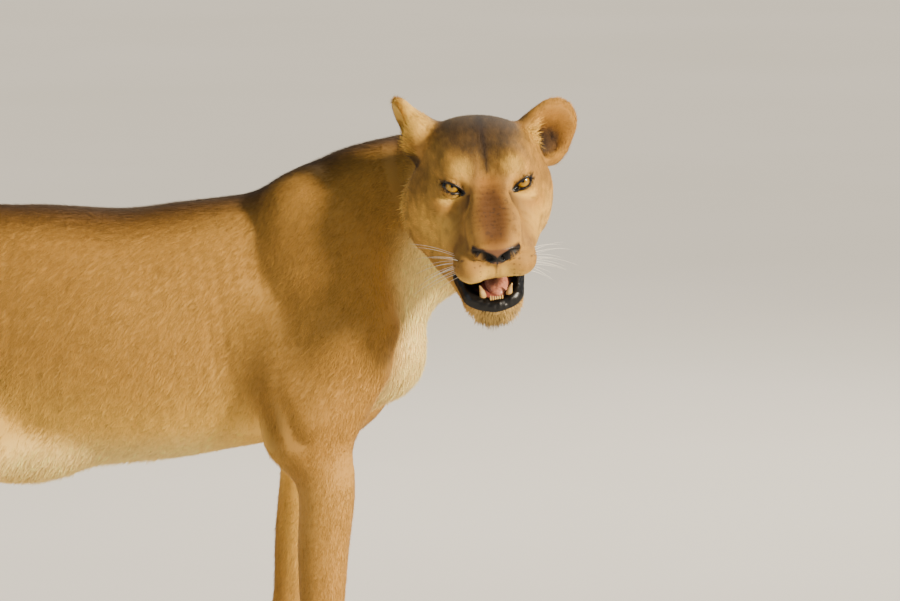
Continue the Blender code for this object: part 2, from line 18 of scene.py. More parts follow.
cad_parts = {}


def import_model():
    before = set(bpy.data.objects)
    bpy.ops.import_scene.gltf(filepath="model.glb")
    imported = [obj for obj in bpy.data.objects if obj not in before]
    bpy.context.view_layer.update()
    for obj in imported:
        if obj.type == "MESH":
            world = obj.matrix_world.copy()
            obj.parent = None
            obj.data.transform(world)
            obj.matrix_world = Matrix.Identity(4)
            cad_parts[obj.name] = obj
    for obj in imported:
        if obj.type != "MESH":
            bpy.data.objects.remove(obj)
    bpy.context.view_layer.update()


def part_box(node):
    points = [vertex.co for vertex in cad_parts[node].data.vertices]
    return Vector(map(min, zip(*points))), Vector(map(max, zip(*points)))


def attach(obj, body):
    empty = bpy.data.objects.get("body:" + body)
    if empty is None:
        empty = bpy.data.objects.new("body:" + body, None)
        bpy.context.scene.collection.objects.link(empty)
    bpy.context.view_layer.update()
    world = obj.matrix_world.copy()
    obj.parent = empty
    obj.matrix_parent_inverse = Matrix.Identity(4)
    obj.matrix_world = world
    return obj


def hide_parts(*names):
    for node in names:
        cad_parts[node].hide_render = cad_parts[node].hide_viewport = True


log = logging.getLogger("lioness")
Array = np.ndarray
Point = tuple[float, float, float]
Colour = tuple[float, float, float]
Station = tuple[float, ...]

SIDES = (-1, 1)  # her right, her left
UP = (0.0, 0.0, 1.0)
AHEAD = (1.0, 0.0, 0.0)
CELL_PRIMES = np.array((73856093, 19349663, 83492791))  # scatter the cells of the noise


class Noise(IntEnum):
    """The seed of each use of the noise."""

    TONES = 3
    SMALL_TONES = 4
    MOTTLE = 5
    FACE_MOTTLE = 6
    GRIZZLE = 8
    FRECKLES = 9
    LIPS = 14
    LIP_EDGE = 15
    SHADE = 21
    STREAKS = 22
    LOCKS = 23


# ---- Numbers ----
def srgb(red: float, green: float, blue: float) -> Colour:
    """A linear colour from its 0 to 255 screen values."""
    return tuple(((v / 255 + 0.055) / 1.055) ** 2.4 if v > 10 else v / 3295 for v in (red, green, blue))


def unit(vectors: Array) -> Array:
    """Vectors brought to length one."""
    return vectors / (np.linalg.norm(vectors, axis=-1, keepdims=True) + 1e-12)


def ease(value: Array) -> Array:
    """A soft step from 0 at 0 to 1 at 1."""
    held = np.clip(value, 0.0, 1.0)
    return held * held * (3.0 - 2.0 * held)


def cloud(points: Array, size: Union[float, Point], seed: int) -> Array:
    """Soft seeded noise from 0 to 1.

    Args:
        points: Places, one row each.
        size: How wide a lump is, in metres, alike or along each axis.
        seed: Which noise.

    Returns:
        One value for each place.
    """
    grid = points / np.broadcast_to(np.array(size, float), 3) + 97.3
    cell = np.floor(grid).astype(np.int64)
    part = ease(grid - cell)
    total = np.zeros(len(points))
    for corner in range(8):
        step = np.array([corner & 1, corner >> 1 & 1, corner >> 2 & 1])
        mixed = np.bitwise_xor.reduce((cell + step) * CELL_PRIMES, axis=1) ^ seed * 2654435
        mixed = (mixed ^ mixed >> 13) * 1274126177 & 0x7FFFFFFF
        weight = np.where(step, part, 1.0 - part).prod(1)
        total += weight * ((mixed ^ mixed >> 16) & 0xFFFF) / 65535.0
    return total


def near(points: Array, middle: Sequence[float], radius: float) -> Array:
    """The numbers of the points within a radius of a place."""
    return np.flatnonzero(((points - np.array(middle)) ** 2).sum(1) < radius**2)


def into(frame: Matrix, points: Array) -> Array:
    """Points in a frame's own coordinates."""
    back = np.array(frame.inverted())
    return points @ back[:3, :3].T + back[:3, 3]


def facing(way: Sequence[float]) -> Matrix:
    """The turn that brings +Z to a direction."""
    return Vector(way).to_track_quat("Z", "Y").to_matrix().to_4x4()


# ---- Soft forms ----
def soft_join(first: Array, second: Array, blend: float) -> Array:
    """The distance to two forms that run into each other over about the blend length."""
    share = np.clip(0.5 + 0.5 * (second - first) / blend, 0.0, 1.0)
    return second + (first - second) * share - blend * share * (1.0 - share)


def soft_cut(form: Array, cutter: Array, blend: float) -> Array:
    """The distance to a form with a cutter taken out of it, its edge rounded by the blend."""
    return -soft_join(-form, cutter, blend)


def oval_distance(offsets: Array, halves: Array) -> Array:
    """Roughly the distance to an ellipsoid.

    Args:
        offsets: From its middle, along its own axes.
        halves: Its half sizes along them.

    Returns:
        One distance for each offset, negative inside.
    """
    near_by = np.sqrt(((offsets / halves) ** 2).sum(-1))
    slope = np.sqrt(((offsets / halves**2) ** 2).sum(-1))
    return near_by * (near_by - 1.0) / np.maximum(slope, 1e-6)


@dataclass(frozen=True)
class Ball:
    """An egg-shaped mass: middle, half sizes, turn about X, Y, Z in degrees, and blend."""

    middle: Point
    halves: Point
    turn: Point = (0.0, 0.0, 0.0)
    blend: float = 0.02

    def frame(self) -> Matrix:
        """Where the mass stands."""
        angles = [math.radians(a) for a in self.turn]
        return Matrix.Translation(self.middle) @ Euler(angles).to_matrix().to_4x4()

    def reach(self) -> tuple[Array, float]:
        """A ball that holds the mass: its middle and radius."""
        return np.array(self.middle), max(self.halves)

    def distance(self, points: Array) -> Array:
        """Roughly the distance from points to the mass, negative inside."""
        turn = np.array(self.frame().to_3x3())
        return oval_distance((points - np.array(self.middle)) @ turn, np.array(self.halves))

    def add(self, frame: Matrix) -> bpy.types.Object:
        """Adds the plain solid of the mass to the scene.

        Args:
            frame: Where the mass's own frame stands.

        Returns:
            The new object.
        """
        bpy.ops.mesh.primitive_ico_sphere_add(subdivisions=3, radius=1.0)
        solid = bpy.context.object
        solid.data.transform(frame @ self.frame() @ Matrix.Diagonal((*self.halves, 1.0)))
        return solid

    def mirrored(self) -> "Ball":
        """The mass on the other side of the middle plane."""
        (x, y, z), (a, b, c) = self.middle, self.turn
        return replace(self, middle=(x, -y, z), turn=(-a, b, -c))


@dataclass(frozen=True)
class Limb:
    """A tapering tube with oval sections along a smooth line.

    A station is (x, y, z, half width, half depth), and the depth is measured along front.
    """

    stations: tuple[Station, ...]
    front: Point = UP
    blend: float = 0.03
    cap: float = 0.8  # how far the ends bulge, as a share of the lesser half size
    steps: int = 6  # rows from one station to the next

    def line(self) -> Array:
        """The stations with smooth ones between them (Catmull-Rom).

        Returns:
            One row for each station.
        """
        rows = np.array(self.stations, float)
        if len(rows) == 2:
            return rows
        padded = np.vstack([2 * rows[0] - rows[1], rows, 2 * rows[-1] - rows[-2]])
        dense = []
        for a, b, c, d in zip(padded, padded[1:], padded[2:], padded[3:]):
            for t in np.arange(self.steps) / self.steps:
                dense.append(
                    0.5 * (2 * b + (c - a) * t + (2 * a - 5 * b + 4 * c - d) * t**2
                           + (3 * b - a - 3 * c + d) * t**3)
                )
        dense.append(rows[-1])
        return np.array(dense)

    def reach(self) -> tuple[Array, float]:
        """A ball that holds the mass.

        Returns:
            Its middle and radius.
        """
        rows = self.line()
        middle = (rows[:, :3].min(0) + rows[:, :3].max(0)) / 2
        away = np.linalg.norm(rows[:, :3] - middle, axis=1) + rows[:, 3:].max(1)
        return middle, 1.1 * away.max()

    def distance(self, points: Array) -> Array:
        """Roughly the distance from points to the mass, negative inside.

        Args:
            points: Places, one row each.

        Returns:
            One distance for each place, measured to the two stretches that meet nearest it.
        """
        rows = self.line()
        starts, ends = rows[:-1], rows[1:]
        runs = ends[:, :3] - starts[:, :3]
        lengths = np.linalg.norm(runs, axis=1)
        axes = runs / lengths[:, None]
        sides = unit(np.cross(self.front, axes))
        depths = np.cross(axes, sides)
        spots = rows[:, :3]
        nearest = ((spots**2).sum(1) - 2 * points @ spots.T).argmin(1)
        found = np.full(len(points), np.inf)
        for stretch in (np.maximum(nearest - 1, 0), np.minimum(nearest, len(runs) - 1)):
            away = points - starts[stretch, :3]
            t = np.clip((away * axes[stretch]).sum(1) / lengths[stretch], 0.0, 1.0)
            away -= t[:, None] * runs[stretch]
            width, depth = (starts[stretch, 3:] + t[:, None] * (ends - starts)[stretch, 3:]).T
            at_end = ((stretch == 0) & (t == 0)) | ((stretch == len(runs) - 1) & (t == 1))
            tip = np.where(at_end, self.cap * np.minimum(width, depth), 10.0)
            offsets = np.stack([(away * d[stretch]).sum(1) for d in (axes, sides, depths)], 1)
            found = np.minimum(found, oval_distance(offsets, np.stack([tip, width, depth], 1)))
        return found

    def add(self, frame: Matrix, sides: int = 16) -> bpy.types.Object:
        """Adds the plain tube of the mass to the scene.

        Args:
            frame: Where the mass's own frame stands.
            sides: How many corners a section has.

        Returns:
            The new object.
        """
        rows = self.line()
        axes = unit(np.gradient(rows[:, :3], axis=0))
        across = unit(np.cross(self.front, axes))
        deep = np.cross(axes, across)
        angles = 2 * math.pi * np.arange(sides) / sides
        ring = rows[:, None, :3] + across[:, None] * (rows[:, 3, None] * np.cos(angles))[..., None]
        ring = ring + deep[:, None] * (rows[:, 4, None] * np.sin(angles))[..., None]
        faces = []
        for start in range(0, (len(rows) - 1) * sides, sides):
            for k in range(sides):
                after = (k + 1) % sides
                faces.append((start + k, start + after, start + sides + after, start + sides + k))
        faces += [tuple(range(sides))[::-1], tuple((len(rows) - 1) * sides + k for k in range(sides))]
        mesh = bpy.data.meshes.new("tube")
        mesh.from_pydata(ring.reshape(-1, 3).tolist(), [], faces)
        tube = add_object("tube", mesh)
        pick(tube)
        with_edit(lambda: bpy.ops.mesh.normals_make_consistent(inside=False))
        mesh.transform(frame)
        return tube

    def mirrored(self) -> "Limb":
        """The mass on the other side of the middle plane."""
        return replace(self, stations=tuple((x, -y, z, w, d) for x, y, z, w, d in self.stations))


Mass = Union[Ball, Limb]


def both(*masses: Mass) -> list[Mass]:
    """Masses of the right side, and their mirror images on the left."""
    return [m for mass in masses for m in (mass, mass.mirrored())]


def joined(masses: Sequence[Mass], points: Array) -> Array:
    """The distance to several masses, each running into those before it.

    Args:
        masses: The masses, in the order in which they join.
        points: Places, one row each.

    Returns:
        One distance for each place, negative inside.
    """
    total = np.full(len(points), 1.0)
    for mass in masses:
        middle, radius = mass.reach()
        away = np.linalg.norm(points - middle, axis=1) - radius
        close = np.flatnonzero(away < total + mass.blend)
        total[close] = soft_join(total[close], mass.distance(points[close]), mass.blend)
    return total


# ---- Mesh helpers ----
def read(items: bpy.types.bpy_prop_collection, key: str, width: int = 1, kind: type = np.float32) -> Array:
    """A property of a mesh's points, edges, faces or corners.

    Args:
        items: The points, edges, faces or corners.
        key: The property's name.
        width: How many numbers it holds.
        kind: What kind of number.

    Returns:
        One number for each item, or one row where it holds several.
    """
    flat = np.empty(len(items) * width, kind)
    items.foreach_get(key, flat)
    return flat if width == 1 else flat.reshape(-1, width)


def coordinates(mesh: bpy.types.Mesh) -> Array:
    """The places of a mesh's points."""
    return read(mesh.vertices, "co", 3).astype(float)


def set_coordinates(mesh: bpy.types.Mesh, points: Array) -> None:
    """Moves a mesh's points to their new places."""
    mesh.vertices.foreach_set("co", points.astype(np.float32).ravel())


def set_map(spread: bpy.types.MeshUVLoopLayer, places: Array) -> None:
    """Fills an unwrap, one place for each corner."""
    spread.uv.foreach_set("vector", places.astype(np.float32).ravel())


def edge_ends(mesh: bpy.types.Mesh) -> Array:
    """The two ends of each edge of a mesh, both ways round."""
    edges = read(mesh.edges, "vertices", 2, np.int32)
    return np.concatenate([edges, edges[:, ::-1]])


def neighbour_sums(ends: Array, values: Array) -> Array:
    """For each point of a mesh, the sum of its neighbours' rows."""
    return np.stack([np.bincount(ends[:, 0], values[ends[:, 1], k], len(values)) for k in range(3)], 1)


def add_object(name: str, data: bpy.types.ID) -> bpy.types.Object:
    """Adds an object with its data to the scene.

    Args:
        name: The object's name.
        data: Its mesh, camera or light.

    Returns:
        The new object.
    """
    made = bpy.data.objects.new(name, data)
    bpy.context.scene.collection.objects.link(made)
    return made


def pick(*shapes: bpy.types.Object) -> None:
    """Selects these objects alone.

    Args:
        shapes: The objects, of which the first becomes the active one.
    """
    bpy.ops.object.select_all(action="DESELECT")
    for shape in shapes:
        shape.select_set(True)
    bpy.context.view_layer.objects.active = shapes[0]


def with_edit(*steps: Callable[[], object]) -> None:
    """Runs steps on the whole active mesh in edit mode.

    Args:
        steps: Functions to call in turn.
    """
    bpy.ops.object.mode_set(mode="EDIT")
    bpy.ops.mesh.select_all(action="SELECT")
    for step in steps:
        step()
    bpy.ops.object.mode_set(mode="OBJECT")


def apply_modifier(shape: bpy.types.Object, kind: str, **settings: object) -> None:
    """Adds a modifier to an object and works it into the mesh.

    Args:
        shape: The object.
        kind: The modifier's type.
        settings: Its properties.
    """
    pick(shape)
    modifier = shape.modifiers.new(kind.lower(), kind)
    for key, value in settings.items():
        setattr(modifier, key, value)
    bpy.ops.object.modifier_apply(modifier=modifier.name)


def join_shapes(name: str, shapes: Sequence[bpy.types.Object]) -> bpy.types.Object:
    """Makes one object of several.

    Args:
        name: The name of the whole.
        shapes: The objects.

    Returns:
        The whole.
    """
    pick(*shapes)
    if len(shapes) > 1:
        bpy.ops.object.join()
    whole = bpy.context.object
    whole.name = whole.data.name = name
    return whole


def put_attribute(mesh: bpy.types.Mesh, name: str, values: Array) -> None:
    """Stores one number or one colour for each point of a mesh.

    Args:
        mesh: The mesh.
        name: The attribute's name.
        values: One number or one row of red, green and blue for each point.
    """
    if values.ndim == 1:
        made = mesh.attributes.new(name, "FLOAT", "POINT")
        made.data.foreach_set("value", values.astype(np.float32))
    else:
        made = mesh.color_attributes.new(name, "FLOAT_COLOR", "POINT")
        rgba = np.concatenate([values, np.ones((len(values), 1))], 1)
        made.data.foreach_set("color", rgba.astype(np.float32).ravel())


# ---- Her head ----
@dataclass(frozen=True)
class Ear:
    """One ear in its own frame: +Z up, +X out of its opening, +Y away from the head's middle."""

    place: Point
    lean: float
    turn: float
    shell: Ball = Ball((-0.004, 0.031, 0.034), (0.023, 0.046, 0.05), blend=0.014)
    lobe: Ball = Ball((-0.004, 0.03, -0.01), (0.021, 0.037, 0.034), (20, 0, 0), blend=0.02)
    stalk: Ball = Ball((-0.012, 0.002, 0.006), (0.036, 0.034, 0.042), blend=0.025)
    hollow: Ball = Ball((0.021, 0.031, 0.031), (0.027, 0.036, 0.041), blend=0.01)
    pit: Ball = Ball((0.006, 0.022, 0.004), (0.028, 0.017, 0.022), blend=0.008)

    def frame(self) -> Matrix:
        """Where the ear stands on the head.

        Returns:
            Its frame, mirrored for the right ear.
        """
        side = math.copysign(1, self.place[1])
        frame = Matrix.Translation(self.place) @ Matrix.Rotation(math.radians(-self.lean * side), 4, "X")
        turn = Matrix.Rotation(math.radians(self.turn * side), 4, "Z")
        return frame @ turn @ Matrix.Diagonal((1, side, 1, 1))

    def distance(self, points: Array) -> Array:
        """The distance to the ear.

        Args:
            points: Places in the head's frame.

        Returns:
            One distance for each place, negative inside.
        """
        local = into(self.frame(), points)
        form = self.shell.distance(local)
        for mass in (self.lobe, self.stalk):
            form = soft_join(form, mass.distance(local), mass.blend)
        for cutter in (self.hollow, self.pit):
            form = soft_cut(form, cutter.distance(local), cutter.blend)
        return form


@dataclass(frozen=True)
class Lids:
    """The two lids of an eye, as an almond-shaped opening in a low dome."""

    eye: Point = (0.064, 0.0585, 0.027)  # the left eye's middle, in the head's frame
    radius: float = 0.0185
    thickness: float = 0.0024
    ball: float = 0.017  # radius of the eyeball behind the lids
    outward: float = 14.0
    upward: float = 14.0
    slant: float = 23.0
    half_width: float = 0.0172
    upper: float = 0.0042
    lower: float = 0.0056
    around: float = 0.045  # how far from the eye's middle the lids are worked out
    dome_blend: float = 0.009
    edge_blend: float = 0.0012
    slope: float = 0.5  # how fast the opening widens away from the eyeball
    sunk: float = 0.0016  # how far under the eyeball's surface the opening goes

    def axes(self, side: int) -> Array:
        """The directions of one eye's opening.

        Args:
            side: -1 for her right eye, 1 for her left.

        Returns:
            Rows that point out of the opening, to the temple and up.
        """
        yaw, pitch, slant = (math.radians(a) for a in (self.outward, self.upward, self.slant))
        flat = math.cos(pitch)
        out = np.array((math.cos(yaw) * flat, side * math.sin(yaw) * flat, math.sin(pitch)))
        temple = side * unit(np.cross((0, 0, 1), out))
        up = side * np.cross(out, temple)
        return np.stack([out, math.cos(slant) * temple + math.sin(slant) * up,
                         math.cos(slant) * up - math.sin(slant) * temple])

    def middle(self, side: int) -> Array:
        """The middle of one eye."""
        return np.array((self.eye[0], side * self.eye[1], self.eye[2]))

    def opening(self, points: Array, side: int) -> tuple[Array, Array]:
        """How far points are from the opening's edge, across it, and how far forward.

        Args:
            points: Places in the head's frame.
            side: -1 for her right eye, 1 for her left.

        Returns:
            The distance to the almond, negative inside it, and the distance along its axis.
        """
        out, across, up = ((points - self.middle(side)) @ self.axes(side).T).T
        found = np.full(len(points), -1.0)
        for height, sign in ((self.upper, 1), (self.lower, -1)):
            bow = (self.half_width**2 + height**2) / (2 * height)
            found = np.maximum(found, np.hypot(across, up + sign * (bow - height)) - bow)
        return found, out

    def add_to(self, form: Array, points: Array) -> Array:
        """Puts the lids on the head.

        Args:
            form: The distance to the head without them.
            points: Places in the head's frame.

        Returns:
            The distance to the head with them.
        """
        form = form.copy()
        for side in SIDES:
            close = near(points, self.middle(side), self.around)
            spots = points[close]
            away = np.linalg.norm(spots - self.middle(side), axis=1)
            dome = soft_join(form[close], away - self.radius - self.thickness, self.dome_blend)
            almond, out = self.opening(spots, side)
            slit = np.maximum(almond - self.slope * (away - self.ball), self.ball - self.sunk - away)
            form[close] = soft_cut(dome, np.maximum(slit, -out), self.edge_blend)
        return form


@dataclass(frozen=True)
class Head:
    """Her head, in its own frame: +X to the nose, +Y her left, +Z the crown."""

    place: Point = (0.693, -0.21, 0.982)
    yaw: float = -76.5
    pitch: float = 15.0
    roll: float = 4.0
    lids: Lids = Lids()
    ears: tuple[Ear, Ear] = (Ear((-0.075, 0.089, 0.04), 11, 8), Ear((-0.072, -0.1, 0.052), 20, 76))
    skull: tuple[Mass, ...] = (
        Ball((-0.045, 0, 0.026), (0.1, 0.095, 0.076), (-8, 0, 0)),
        Ball((-0.02, -0.042, 0.042), (0.08, 0.05, 0.05), (0, 12, 0), blend=0.03),
        Ball((-0.02, 0.04, 0.028), (0.08, 0.05, 0.048), (0, 12, 0), blend=0.03),
        *both(Ball((0.05, -0.046, 0.048), (0.036, 0.03, 0.02), (0, 25, 12), blend=0.03)),  # brow
        # Bridge of the nose
        *both(Limb(((0.02, -0.021, 0.034, 0.028, 0.034), (0.09, -0.02, 0.0, 0.027, 0.034),
            (0.148, -0.02, -0.032, 0.027, 0.029), (0.172, -0.016, -0.046, 0.02, 0.021)), blend=0.025)),
        Ball((0.095, 0, -0.06), (0.09, 0.06, 0.048), (0, 14, 0), blend=0.02),  # upper jaw
        Ball((0.02, -0.083, -0.008), (0.06, 0.034, 0.042), (0, 0, 15), blend=0.03),  # cheekbones
        Ball((0.02, 0.073, -0.008), (0.06, 0.034, 0.042), (0, 0, -15), blend=0.03),
        # Cheek
        *both(Limb(((-0.03, -0.08, -0.03, 0.03, 0.055), (0.04, -0.066, -0.045, 0.028, 0.048),
            (0.11, -0.044, -0.072, 0.024, 0.034)), blend=0.025)),
        Ball((0.147, -0.037, -0.077), (0.043, 0.034, 0.034), (0, 8, -12), blend=0.014),  # lip pads
        Ball((0.147, 0.036, -0.071), (0.043, 0.034, 0.031), (0, 8, 12), blend=0.014),
        Ball((-0.055, -0.09, -0.056), (0.072, 0.048, 0.072), (0, -10, 5), blend=0.04),  # jowls
        Ball((-0.05, 0.067, -0.046), (0.075, 0.042, 0.068), (0, -10, -5), blend=0.04),
        # Hanging skin from the right jowl to the mouth's corner
        Limb(((-0.03, -0.09, -0.07, 0.03, 0.04), (0.03, -0.072, -0.106, 0.026, 0.034),
            (0.066, -0.056, -0.12, 0.018, 0.026)), blend=0.03),
        Ball((0.171, 0, -0.046), (0.023, 0.037, 0.022), (0, 20, 0), blend=0.012),  # nose
        Ball((-0.085, 0, -0.035), (0.085, 0.09, 0.09), blend=0.04),  # nape and throat
    )
    jaw: tuple[Mass, ...] = (
        Ball((0.116, -0.003, -0.166), (0.037, 0.047, 0.034), blend=0.015),  # chin
        Ball((0.035, 0, -0.138), (0.085, 0.05, 0.034), (0, 14, 0), blend=0.02),
        Ball((-0.03, 0, -0.115), (0.065, 0.058, 0.045), blend=0.03),
        # Right branch
        Limb(((-0.02, -0.058, -0.088, 0.024, 0.038), (0.06, -0.053, -0.126, 0.021, 0.03),
            (0.122, -0.032, -0.15, 0.022, 0.024)), blend=0.02),
        # Left branch
        Limb(((-0.02, 0.05, -0.088, 0.024, 0.038), (0.06, 0.037, -0.126, 0.021, 0.03),
            (0.122, 0.024, -0.15, 0.022, 0.024)), blend=0.02),
    )
    jaw_blend: float = 0.012
    ear_blend: float = 0.018
    ear_around: float = 0.15  # how far from an ear's root it is worked out
    socket: Ball = Ball((0.1, -0.062, 0.02), (0.032, 0.026, 0.017), (0, 20, 0), blend=0.012)
    mouth: Ball = Ball((0.133, -0.006, -0.122), (0.088, 0.046, 0.021), (0, 12, 0), blend=0.008)
    mouth_around: tuple[Point, float] = ((0.105, 0, -0.135), 0.09)  # where the lips are wrinkled
    wrinkle: float = 0.0016  # depth of the wrinkles
    wrinkle_size: Point = (0.008, 0.005, 0.005)
    wrinkle_reach: tuple[float, float] = (0.024, 0.012)  # how far from the lips, and its soft edge
    gums: Ball = Ball((0.112, 0, -0.148), (0.034, 0.031, 0.016), (0, 14, 0))
    nose_around: tuple[Point, float] = ((0.185, 0, -0.075), 0.06)  # where the creases are cut
    creases: tuple[Mass, ...] = (
        *both(Ball((0.188, -0.02, -0.051), (0.027, 0.013, 0.0068), (-28, 0, 32), blend=0.004)),  # nostril
        # Its slit
        *both(Limb(((0.19, -0.027, -0.052, 0.0024, 0.0035), (0.178, -0.04, -0.0475, 0.0014, 0.0025)),
            blend=0.003)),
        # Groove under the nose
        Limb(((0.198, 0, -0.062, 0.0014, 0.004), (0.192, 0, -0.082, 0.0016, 0.006),
            (0.184, 0, -0.104, 0.002, 0.008)), blend=0.005),
    )

    def frame(self) -> Matrix:
        """Where the head stands on the neck."""
        turn = Euler([math.radians(a) for a in (self.roll, self.pitch, self.yaw)]).to_matrix()
        return Matrix.Translation(self.place) @ turn.to_4x4()

    def shell(self, points: Array) -> Array:
        """The distance to skull and jaw, without ears, lids or openings."""
        return soft_join(joined(self.skull, points), joined(self.jaw, points), self.jaw_blend)

    def distance(self, points: Array) -> Array:
        """The distance to the head, from points in its own frame.

        Args:
            points: Places in the head's frame.

        Returns:
            One distance for each place, negative inside.
        """
        form = self.shell(points)
        for ear in self.ears:
            close = near(points, ear.place, self.ear_around)
            form[close] = soft_join(form[close], ear.distance(points[close]), self.ear_blend)
        for cutter in (*both(self.socket), self.mouth):
            form = soft_cut(form, cutter.distance(points), cutter.blend)
        close = near(points, *self.mouth_around)
        far, soft = self.wrinkle_reach
        by_lips = ease((far - np.abs(self.mouth.distance(points[close]))) / soft)
        form[close] += self.wrinkle * by_lips * (cloud(points[close], self.wrinkle_size, Noise.LIPS) - 0.5)
        form = self.lids.add_to(form, points)
        close = near(points, *self.nose_around)
        for crease in self.creases:
            form[close] = soft_cut(form[close], crease.distance(points[close]), crease.blend)
        return form


# ---- Her body ----
@dataclass(frozen=True)
class Paw:
    """Heel pad and four toes, the two middle ones ahead of the others."""

    place: tuple[float, float]
    width: float
    length: float
    toe_reach: float = 0.26  # half a toe's length, as a share of the paw's
    toes: tuple[Point, ...] = ((-0.37, 0.3, 8), (-0.125, 0.43, 3), (0.125, 0.43, -3), (0.37, 0.3, -8))

    def toe_places(self) -> list[tuple[float, float, float]]:
        """The middle of each toe, and how far it turns inwards in degrees."""
        x, y = self.place
        return [(x + ahead * self.length, y + across * self.width, -out) for across, ahead, out in self.toes]

    def masses(self) -> list[Mass]:
        """The pads and the toes.

        Returns:
            Their masses.
        """
        x, y = self.place
        length, width = self.length, self.width
        toe = (self.toe_reach * length, 0.145 * width, 0.027)
        return [
            Ball((x + 0.1 * length, y, 0.03), (0.4 * length, 0.44 * width, 0.034), blend=0.02),
            Ball((x, y, 0.016), (0.3 * length, 0.34 * width, 0.026), blend=0.015),
            *(Ball((tx, ty, 0.021), toe, (0, 8, turn), blend=0.008) for tx, ty, turn in self.toe_places()),
        ]


@dataclass(frozen=True)
class Leg:
    """One leg: side is -1 for her right, and step moves the foot forward."""

    side: int
    step: float
    lean: ClassVar[tuple[float, ...]]  # the shares of the step that the stations pick from
    foot: ClassVar[tuple[float, float, float]]  # how far forward, width and length of the paw

    def stretch(self, blend: float, *stations: Station) -> Limb:
        """A stretch of the leg; a station ends with the number of its share of the step."""
        moved = ((x + self.step * self.lean[k], self.side * y, z, w, d) for x, y, z, w, d, k in stations)
        return Limb(tuple(moved), AHEAD, blend)

    def muscle(self, x: float, y: float, z: float, halves: Point, lean: float, blend: float) -> Ball:
        """A mass that leans back by some degrees."""
        return Ball((x, self.side * y, z), halves, (0, -lean, 0), blend=blend)

    def paw(self) -> Paw:
        """The leg's paw."""
        x, width, length = self.foot
        return Paw((x + self.step, self.side * 0.12), width, length)


@dataclass(frozen=True)
class Foreleg(Leg):
    """One foreleg."""

    lean: ClassVar[tuple[float, ...]] = (0.0, 0.3, 0.7, 0.8, 0.87, 0.95, 1.0, 1.0)
    foot: ClassVar[tuple[float, float, float]] = (0.437, 0.116, 0.134)

    def masses(self) -> list[Mass]:
        """The leg's masses, from the shoulder blade to the toes.

        Returns:
            The masses, in the order in which they join.
        """
        return [
            # Shoulder blade
            self.stretch(0.045, (0.35, 0.066, 0.962, 0.032, 0.048, 0),
                (0.405, 0.106, 0.84, 0.046, 0.085, 0), (0.455, 0.122, 0.71, 0.056, 0.09, 0)),
            # Upper arm
            self.stretch(0.045, (0.45, 0.122, 0.69, 0.056, 0.085, 0), (0.395, 0.128, 0.6, 0.06, 0.09, 0),
                (0.362, 0.126, 0.53, 0.05, 0.062, 1)),
            self.muscle(0.33, 0.11, 0.665, (0.06, 0.045, 0.12), 20, 0.05),
            # Forearm and wrist
            self.stretch(0.035, (0.38, 0.126, 0.56, 0.05, 0.072, 1),
                (0.412, 0.126, 0.465, 0.047, 0.053, 2), (0.407, 0.124, 0.35, 0.041, 0.047, 3),
                (0.405, 0.122, 0.24, 0.037, 0.041, 4), (0.408, 0.12, 0.185, 0.041, 0.044, 5),
                (0.415, 0.12, 0.11, 0.041, 0.038, 6), (0.432, 0.12, 0.055, 0.048, 0.04, 7)),
            *self.paw().masses(),
        ]


@dataclass(frozen=True)
class Hindleg(Leg):
    """One hind leg."""

    lean: ClassVar[tuple[float, ...]] = (0.0, 0.0, 0.1, 0.3, 0.5, 0.75, 0.9, 1.0, 1.0)
    foot: ClassVar[tuple[float, float, float]] = (-0.52, 0.102, 0.124)

    def masses(self) -> list[Mass]:
        """The leg's masses, from the hip to the toes.

        Returns:
            The masses, in the order in which they join.
        """
        return [
            # Thigh
            self.stretch(0.05, (-0.455, 0.085, 0.8, 0.05, 0.095, 0),
                (-0.425, 0.105, 0.69, 0.062, 0.125, 1), (-0.37, 0.122, 0.57, 0.062, 0.1, 2),
                (-0.325, 0.13, 0.5, 0.05, 0.062, 2)),
            self.muscle(-0.488 + 0.1 * self.step, 0.085, 0.665, (0.066, 0.05, 0.145), 18, 0.06),
            # Shank and hock
            self.stretch(0.035, (-0.335, 0.13, 0.52, 0.048, 0.06, 2),
                (-0.415, 0.128, 0.43, 0.046, 0.064, 3), (-0.5, 0.124, 0.335, 0.035, 0.045, 4),
                (-0.56, 0.12, 0.262, 0.031, 0.042, 5), (-0.565, 0.12, 0.2, 0.029, 0.034, 6),
                (-0.548, 0.12, 0.12, 0.031, 0.031, 7), (-0.53, 0.12, 0.055, 0.042, 0.036, 8)),
            # Heel
            self.muscle(-0.588 + 0.75 * self.step, 0.12, 0.282, (0.02, 0.018, 0.034), 25, 0.02),
            *self.paw().masses(),
        ]


